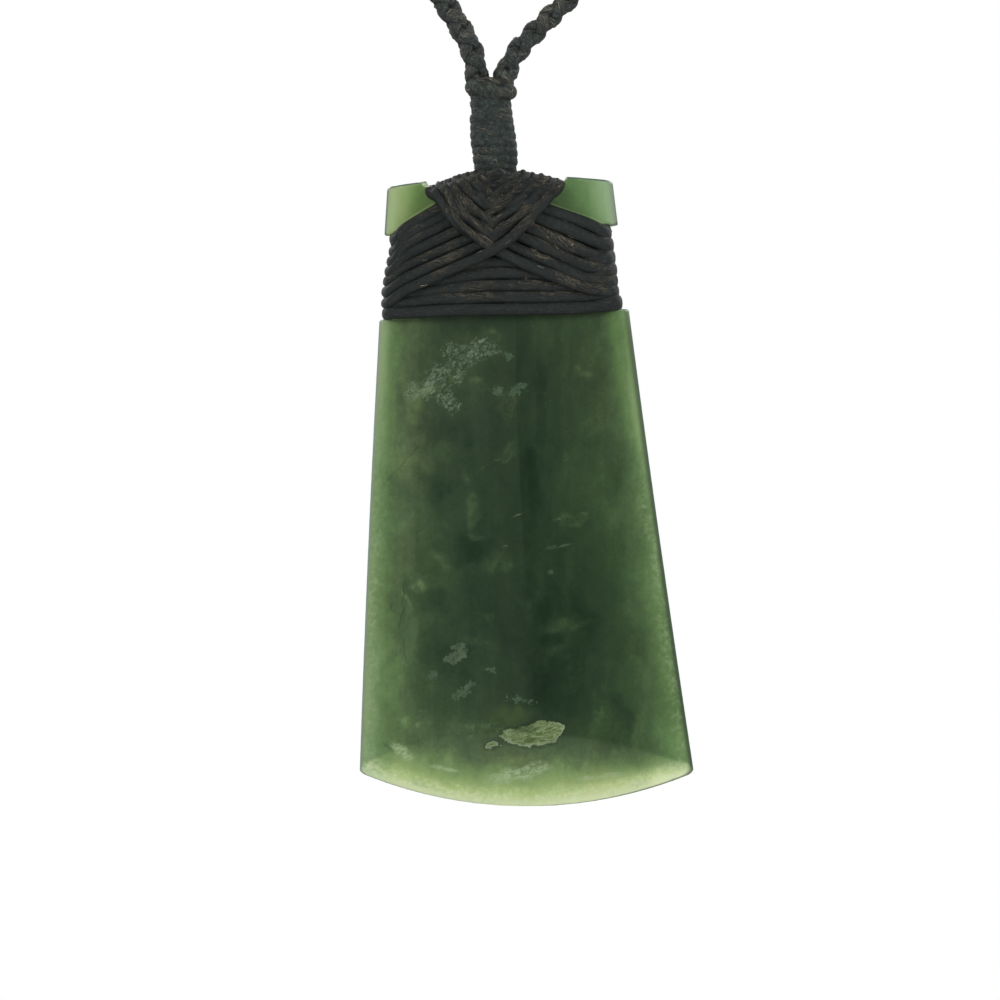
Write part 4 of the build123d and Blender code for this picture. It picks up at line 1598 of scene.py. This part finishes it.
def make_whipping(material):
    strands = Strands(14)
    for turn in WHIPPING_TURNS:
        centre, half, z = whipping_row(*turn)
        half -= WHIPPING_THIN
        lean = WHIPPING_LEAN + random.uniform(-0.015, 0.015)
        line = ring(centre, half, half * WHIPPING_DEPTH_SHARE, z, lean, RING_POINTS)
        line = waver(through(line, STRAND_STEP, True), 0.06)
        strands.add(line, WHIPPING_THIN, WHIPPING_WIDE, (0.0, 0.0, 1.0), creased=False)
    return (
        strands.make("neck_whipping_thread", material),
        strands.hairs(190, 3, "whipping_fibres", lint),
    )


def make_whipping_core(material):
    """The closed turned form inside the whipping, from its lowest row up."""
    sides = WHIPPING_CORE_SIDES
    top, bottom = WHIPPING_CORE_ENDS
    rows = []
    for turn in reversed([top, *WHIPPING_TURNS, bottom]):
        centre, half, z = whipping_row(*turn)
        radius = half - WHIPPING_THIN * 1.2
        rows.append(ring(centre, radius, radius, z, WHIPPING_LEAN, sides))
    faces = []
    for row in range(len(rows) - 1):
        for k in range(sides):
            a, b = row * sides + k, row * sides + (k + 1) % sides
            faces.append([a, b, b + sides, a + sides])
    faces.append(list(range(sides))[::-1])
    faces.append([(len(rows) - 1) * sides + k for k in range(sides)])
    mesh = bpy.data.meshes.new("whipping_core")
    mesh.from_pydata(world(np.vstack(rows)).tolist(), [], faces)
    mesh.materials.append(material)
    return linked("whipping_core", mesh)


# The knot: points of each of its laps, millimetres from the parting, and its half width and thickness
KNOT_LAPS = [
    ([
        (0.5, 1.2, -1.2), (-0.9, 1.45, -1.15), (-1.75, 0.6, -1.1), (-1.8, -0.55, -1.1),
        (-1.0, -1.5, -1.3), (0.1, -1.65, -1.65), (1.0, -1.3, -2.2),
    ], 0.82, 0.6),
    ([
        (-0.6, -1.3, -1.9), (0.4, -1.55, -1.85), (1.2, -1.4, -1.65), (1.8, -0.5, -1.55),
        (1.75, 0.6, -1.45), (0.9, 1.45, -1.2), (-0.3, 1.4, -1.1),
    ], 0.76, 0.6),
    ([
        (-1.2, -0.5, -1.2), (-0.5, -0.85, -0.78), (0.4, -0.9, -0.82), (1.3, -0.7, -1.3),
    ], 0.6, 0.55),
    ([
        (1.5, -0.6, 1.2), (1.0, -0.65, 0.75), (0.68, -0.7, 0.3), (0.55, -0.75, -0.1),
        (0.3, -0.8, -0.7),
    ], 0.42, 0.4),
    ([
        (-1.1, -0.6, 1.0), (-0.66, -0.7, 0.35), (-0.5, -0.75, -0.1), (-0.2, -0.8, -0.7),
    ], 0.38, 0.36),
    ([
        (-1.5, 0.9, -0.55), (-1.85, -0.1, -0.6), (-1.3, -1.1, -0.62), (-0.3, -1.5, -0.95),
        (0.6, -1.45, -1.5),
    ], 0.42, 0.4),
]
KNOT_TAPER = 0.9


def make_collar(material):
    """The knot, of laps that taper at both ends and go under one another."""
    strands = Strands(18)
    for points, wide, thick in KNOT_LAPS:
        line = through(points, STRAND_STEP)
        along = np.arange(len(line)) * STRAND_STEP
        taper = 0.35 + 0.65 * smoothstep(np.minimum(along, along[-1] - along), 0.0, KNOT_TAPER)
        out = line - np.array([(0.05, 0.0, line[:, 2].mean())])
        out[:, 2] *= 0.3
        strands.add(line, wide * taper, thick * taper, out, closed=False, relief=0.08, lay=5.0)
    return strands.make("collar_knot_thread", material), strands.hairs(26, 4, "knot_fibres", lint)


# Braids

BRAID_STEP = 0.22
BRAID_MIDDLE = 0.49
BRAID_SWING = 0.19
BRAID_WIDE = 0.65
BRAID_THIN = 0.44
BRAID_SQUARE = 2.3


def braid_strand(line, number, size, pitch, start_turn, spin):
    """One of four strands of a round braid that follows a line, and the direction out of the braid."""
    _, normals, sides = frames_along(line, False)
    turn = 2 * math.pi * run_along(line) / pitch + start_turn
    swing = BRAID_SWING * np.sin(2 * turn)
    if number < 2:
        angle, reach = turn, BRAID_MIDDLE + swing
    else:
        angle, reach = math.pi / 2 - turn, BRAID_MIDDLE - swing
    angle = angle + number * math.pi + math.pi / 4 + spin
    out = np.cos(angle)[:, None] * normals + np.sin(angle)[:, None] * sides
    return line + out * (size * reach)[:, None], out


def make_braid(name, middle, sign, size, pitch, start_turn, spin, material):
    line = from_world(route_line(name + "_route", whole_route(middle, sign)))
    line = resample(line, BRAID_STEP)
    strands = Strands(10)
    wide, thin = BRAID_WIDE * size, BRAID_THIN * size
    for number in range(4):
        path, out = braid_strand(line, number, size, pitch, start_turn, spin)
        strands.add(path, wide, thin, out, closed=False, lay=-7.0, square=BRAID_SQUARE)
    print(name, "length mm", round(float(run_along(line)[-1]), 1))
    return strands.make(name + "_strands", material), strands.hairs(1300, 3, name + "_fibres", lint)


# How much nearer the cord the nape whipping's first and second turns from each end lie
NAPE_ENDS_IN = {0: 0.35, 1: 0.1}
NAPE_SPACING = 0.8


def make_nape(material):
    low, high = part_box("nape_whipping")
    half = high[0] / MM
    radius = (high[2] - low[2]) / MM / 2
    count = int(round(2 * half / NAPE_SPACING))
    pitch = 2 * (half - WHIPPING_WIDE) / (count - 1)
    strands = Strands(12)
    angles = round_angles(RING_POINTS)
    for turn in range(count):
        out = radius - WHIPPING_THIN - NAPE_ENDS_IN.get(min(turn, count - 1 - turn), 0)
        line = np.stack([
            NAPE[0] - half + WHIPPING_WIDE + turn * pitch + 0.05 * np.cos(angles),
            NAPE[1] + out * np.cos(angles),
            NAPE[2] + out * np.sin(angles),
        ], axis=1)
        line = waver(through(line, 0.25, True), 0.02)
        strands.add(line, WHIPPING_THIN, WHIPPING_WIDE, (1.0, 0.0, 0.0), creased=False)
    core_line = [(NAPE[0] + x, NAPE[1], NAPE[2]) for x in np.linspace(0.3 - half, half - 0.3, 20)]
    strands.add(core_line, radius - WHIPPING_THIN * 1.3, relief=0.0, closed=False, creased=False)
    return strands.make("nape_whipping_thread", material)


# Stage and light

FLOOR_RADIUS = 0.6
FLOOR_SIDES = 96
FLOOR_BELOW = 0.14
SOFT_LIGHT = 0.31

# Each light: name, place from the parting of the braids, width and power
LIGHTS = [
    ("key_left", (-0.9, -0.9, 0.7), 0.7, 7.9),
    ("key_right", (0.95, -0.8, 0.55), 0.7, 7.0),
    ("back_left", (-0.8, 0.9, 0.6), 0.7, 6.2),
    ("back_right", (0.8, 0.9, 0.6), 0.7, 6.2),
    ("low_front", (0.0, -1.0, -0.5), 0.6, 2.6),
]


def make_stage(material):
    low = cad_box[0][2] - FLOOR_BELOW
    points = [
        (FLOOR_RADIUS * math.cos(angle), PARTING.y + FLOOR_RADIUS * math.sin(angle), low)
        for angle in round_angles(FLOOR_SIDES)
    ]
    mesh = bpy.data.meshes.new("floor")
    mesh.from_pydata(points, [], [list(range(FLOOR_SIDES))])
    mesh.materials.append(material)
    floor = linked("floor", mesh)


def make_lights():
    aim_at = PARTING + Vector((0, 0, -0.04))
    for name, place, size, power in LIGHTS:
        data = bpy.data.lights.new(name, "AREA")
        data.shape = "DISK"
        data.size = size
        data.energy = power
        light = linked(name, data)
        light.location = PARTING + Vector(place)
        light.rotation_euler = (aim_at - light.location).to_track_quat("-Z", "Y").to_euler()


def make_background():
    """Soft white light from all round, and plain white behind the part."""
    world_data = bpy.data.worlds.new("studio")
    world_data.use_nodes = True
    nodes, links = world_data.node_tree.nodes, world_data.node_tree.links
    nodes.clear()
    out = nodes.new("ShaderNodeOutputWorld")
    choose = nodes.new("ShaderNodeMixShader")
    rays = nodes.new("ShaderNodeLightPath")
    links.new(rays.outputs["Is Camera Ray"], choose.inputs[0])
    for index, strength in ((1, SOFT_LIGHT), (2, 1.0)):
        white = nodes.new("ShaderNodeBackground")
        white.inputs["Color"].default_value = (1, 1, 1, 1)
        white.inputs["Strength"].default_value = strength
        links.new(white.outputs[0], choose.inputs[index])
    links.new(choose.outputs[0], out.inputs[0])
    bpy.context.scene.world = world_data
    bpy.context.scene.view_settings.view_transform = "Standard"


# Build

# One thread in lit and shaded copies: the whipping, knot and braids are painted paler than the lashing
# for the white backlight that flares round these thin parts: painted light
thread = thread_material("waxed_thread", (24, 33, 33), (126, 113, 94), 0.53, 0.4, 0.25, 0.56)
whipped = thread_material("whipped_thread", (45, 54, 53), (104, 98, 84), 0.5, 1.5, 0.8, 0.75)
knot_thread = thread_material("knot_thread", (48, 56, 53), (118, 102, 83), 0.5, 1.5, 0.8, 0.75)
cord = thread_material("braided_cord", (48, 55, 54), (118, 112, 98), 0.48, 1.5, 0.95, 0.75)
lint = clouded_material("loose_fibres", 1100.0, 2.0, (78, 76, 66), (142, 134, 116), 0.8, (0.35, 0.65))
core = clouded_material("inner_thread", 900.0, 3.0, (14, 16, 14), (26, 29, 26), 0.85)
stone = stone_material()

blade = make_blade(stone)
lashing_lint, crossed, plies, level, inner = make_lashing(thread)
whipping, whipping_lint = make_whipping(whipped)
whipping_core = make_whipping_core(core)
collar, collar_lint = make_collar(knot_thread)
left_braid, left_lint = make_braid("braid_left", LEFT_ROUTE, -1, 1.08, 4.6, 2.4, 0.35, cord)
right_braid, right_lint = make_braid("braid_right", RIGHT_ROUTE, 1, 1.0, 4.4, math.pi / 2, 0.0, cord)
nape = make_nape(whipped)

for piece, slot, nodes in (
    (blade, "greenstone", ["toki_blade"]),
    (crossed, "waxed_thread", ["saddle_lashing", "shoulder_lashing"]),
    (plies, "waxed_thread", ["saddle_lashing"]),
    (lashing_lint, "waxed_thread", ["saddle_lashing", "shoulder_lashing"]),
    (level, "waxed_thread", ["shoulder_lashing"]),
    (inner, "waxed_thread", ["shoulder_lashing"]),
    (whipping, "waxed_thread", ["neck_whipping"]),
    (whipping_lint, "waxed_thread", ["neck_whipping"]),
    (whipping_core, "waxed_thread", ["neck_whipping"]),
    (collar, "waxed_thread", ["collar_knot"]),
    (collar_lint, "waxed_thread", ["collar_knot"]),
    (left_braid, "braided_cord", ["braid_left"]),
    (right_braid, "braided_cord", ["braid_right"]),
    (left_lint, "braided_cord", ["braid_left"]),
    (right_lint, "braided_cord", ["braid_right"]),
    (nape, "waxed_thread", ["nape_whipping"]),
):
    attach(piece, "root")
    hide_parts(*nodes)

make_stage(clouded_material("floor", 40.0, 4.0, (232, 232, 230), (240, 240, 238), 0.8))
make_lights()
make_background()
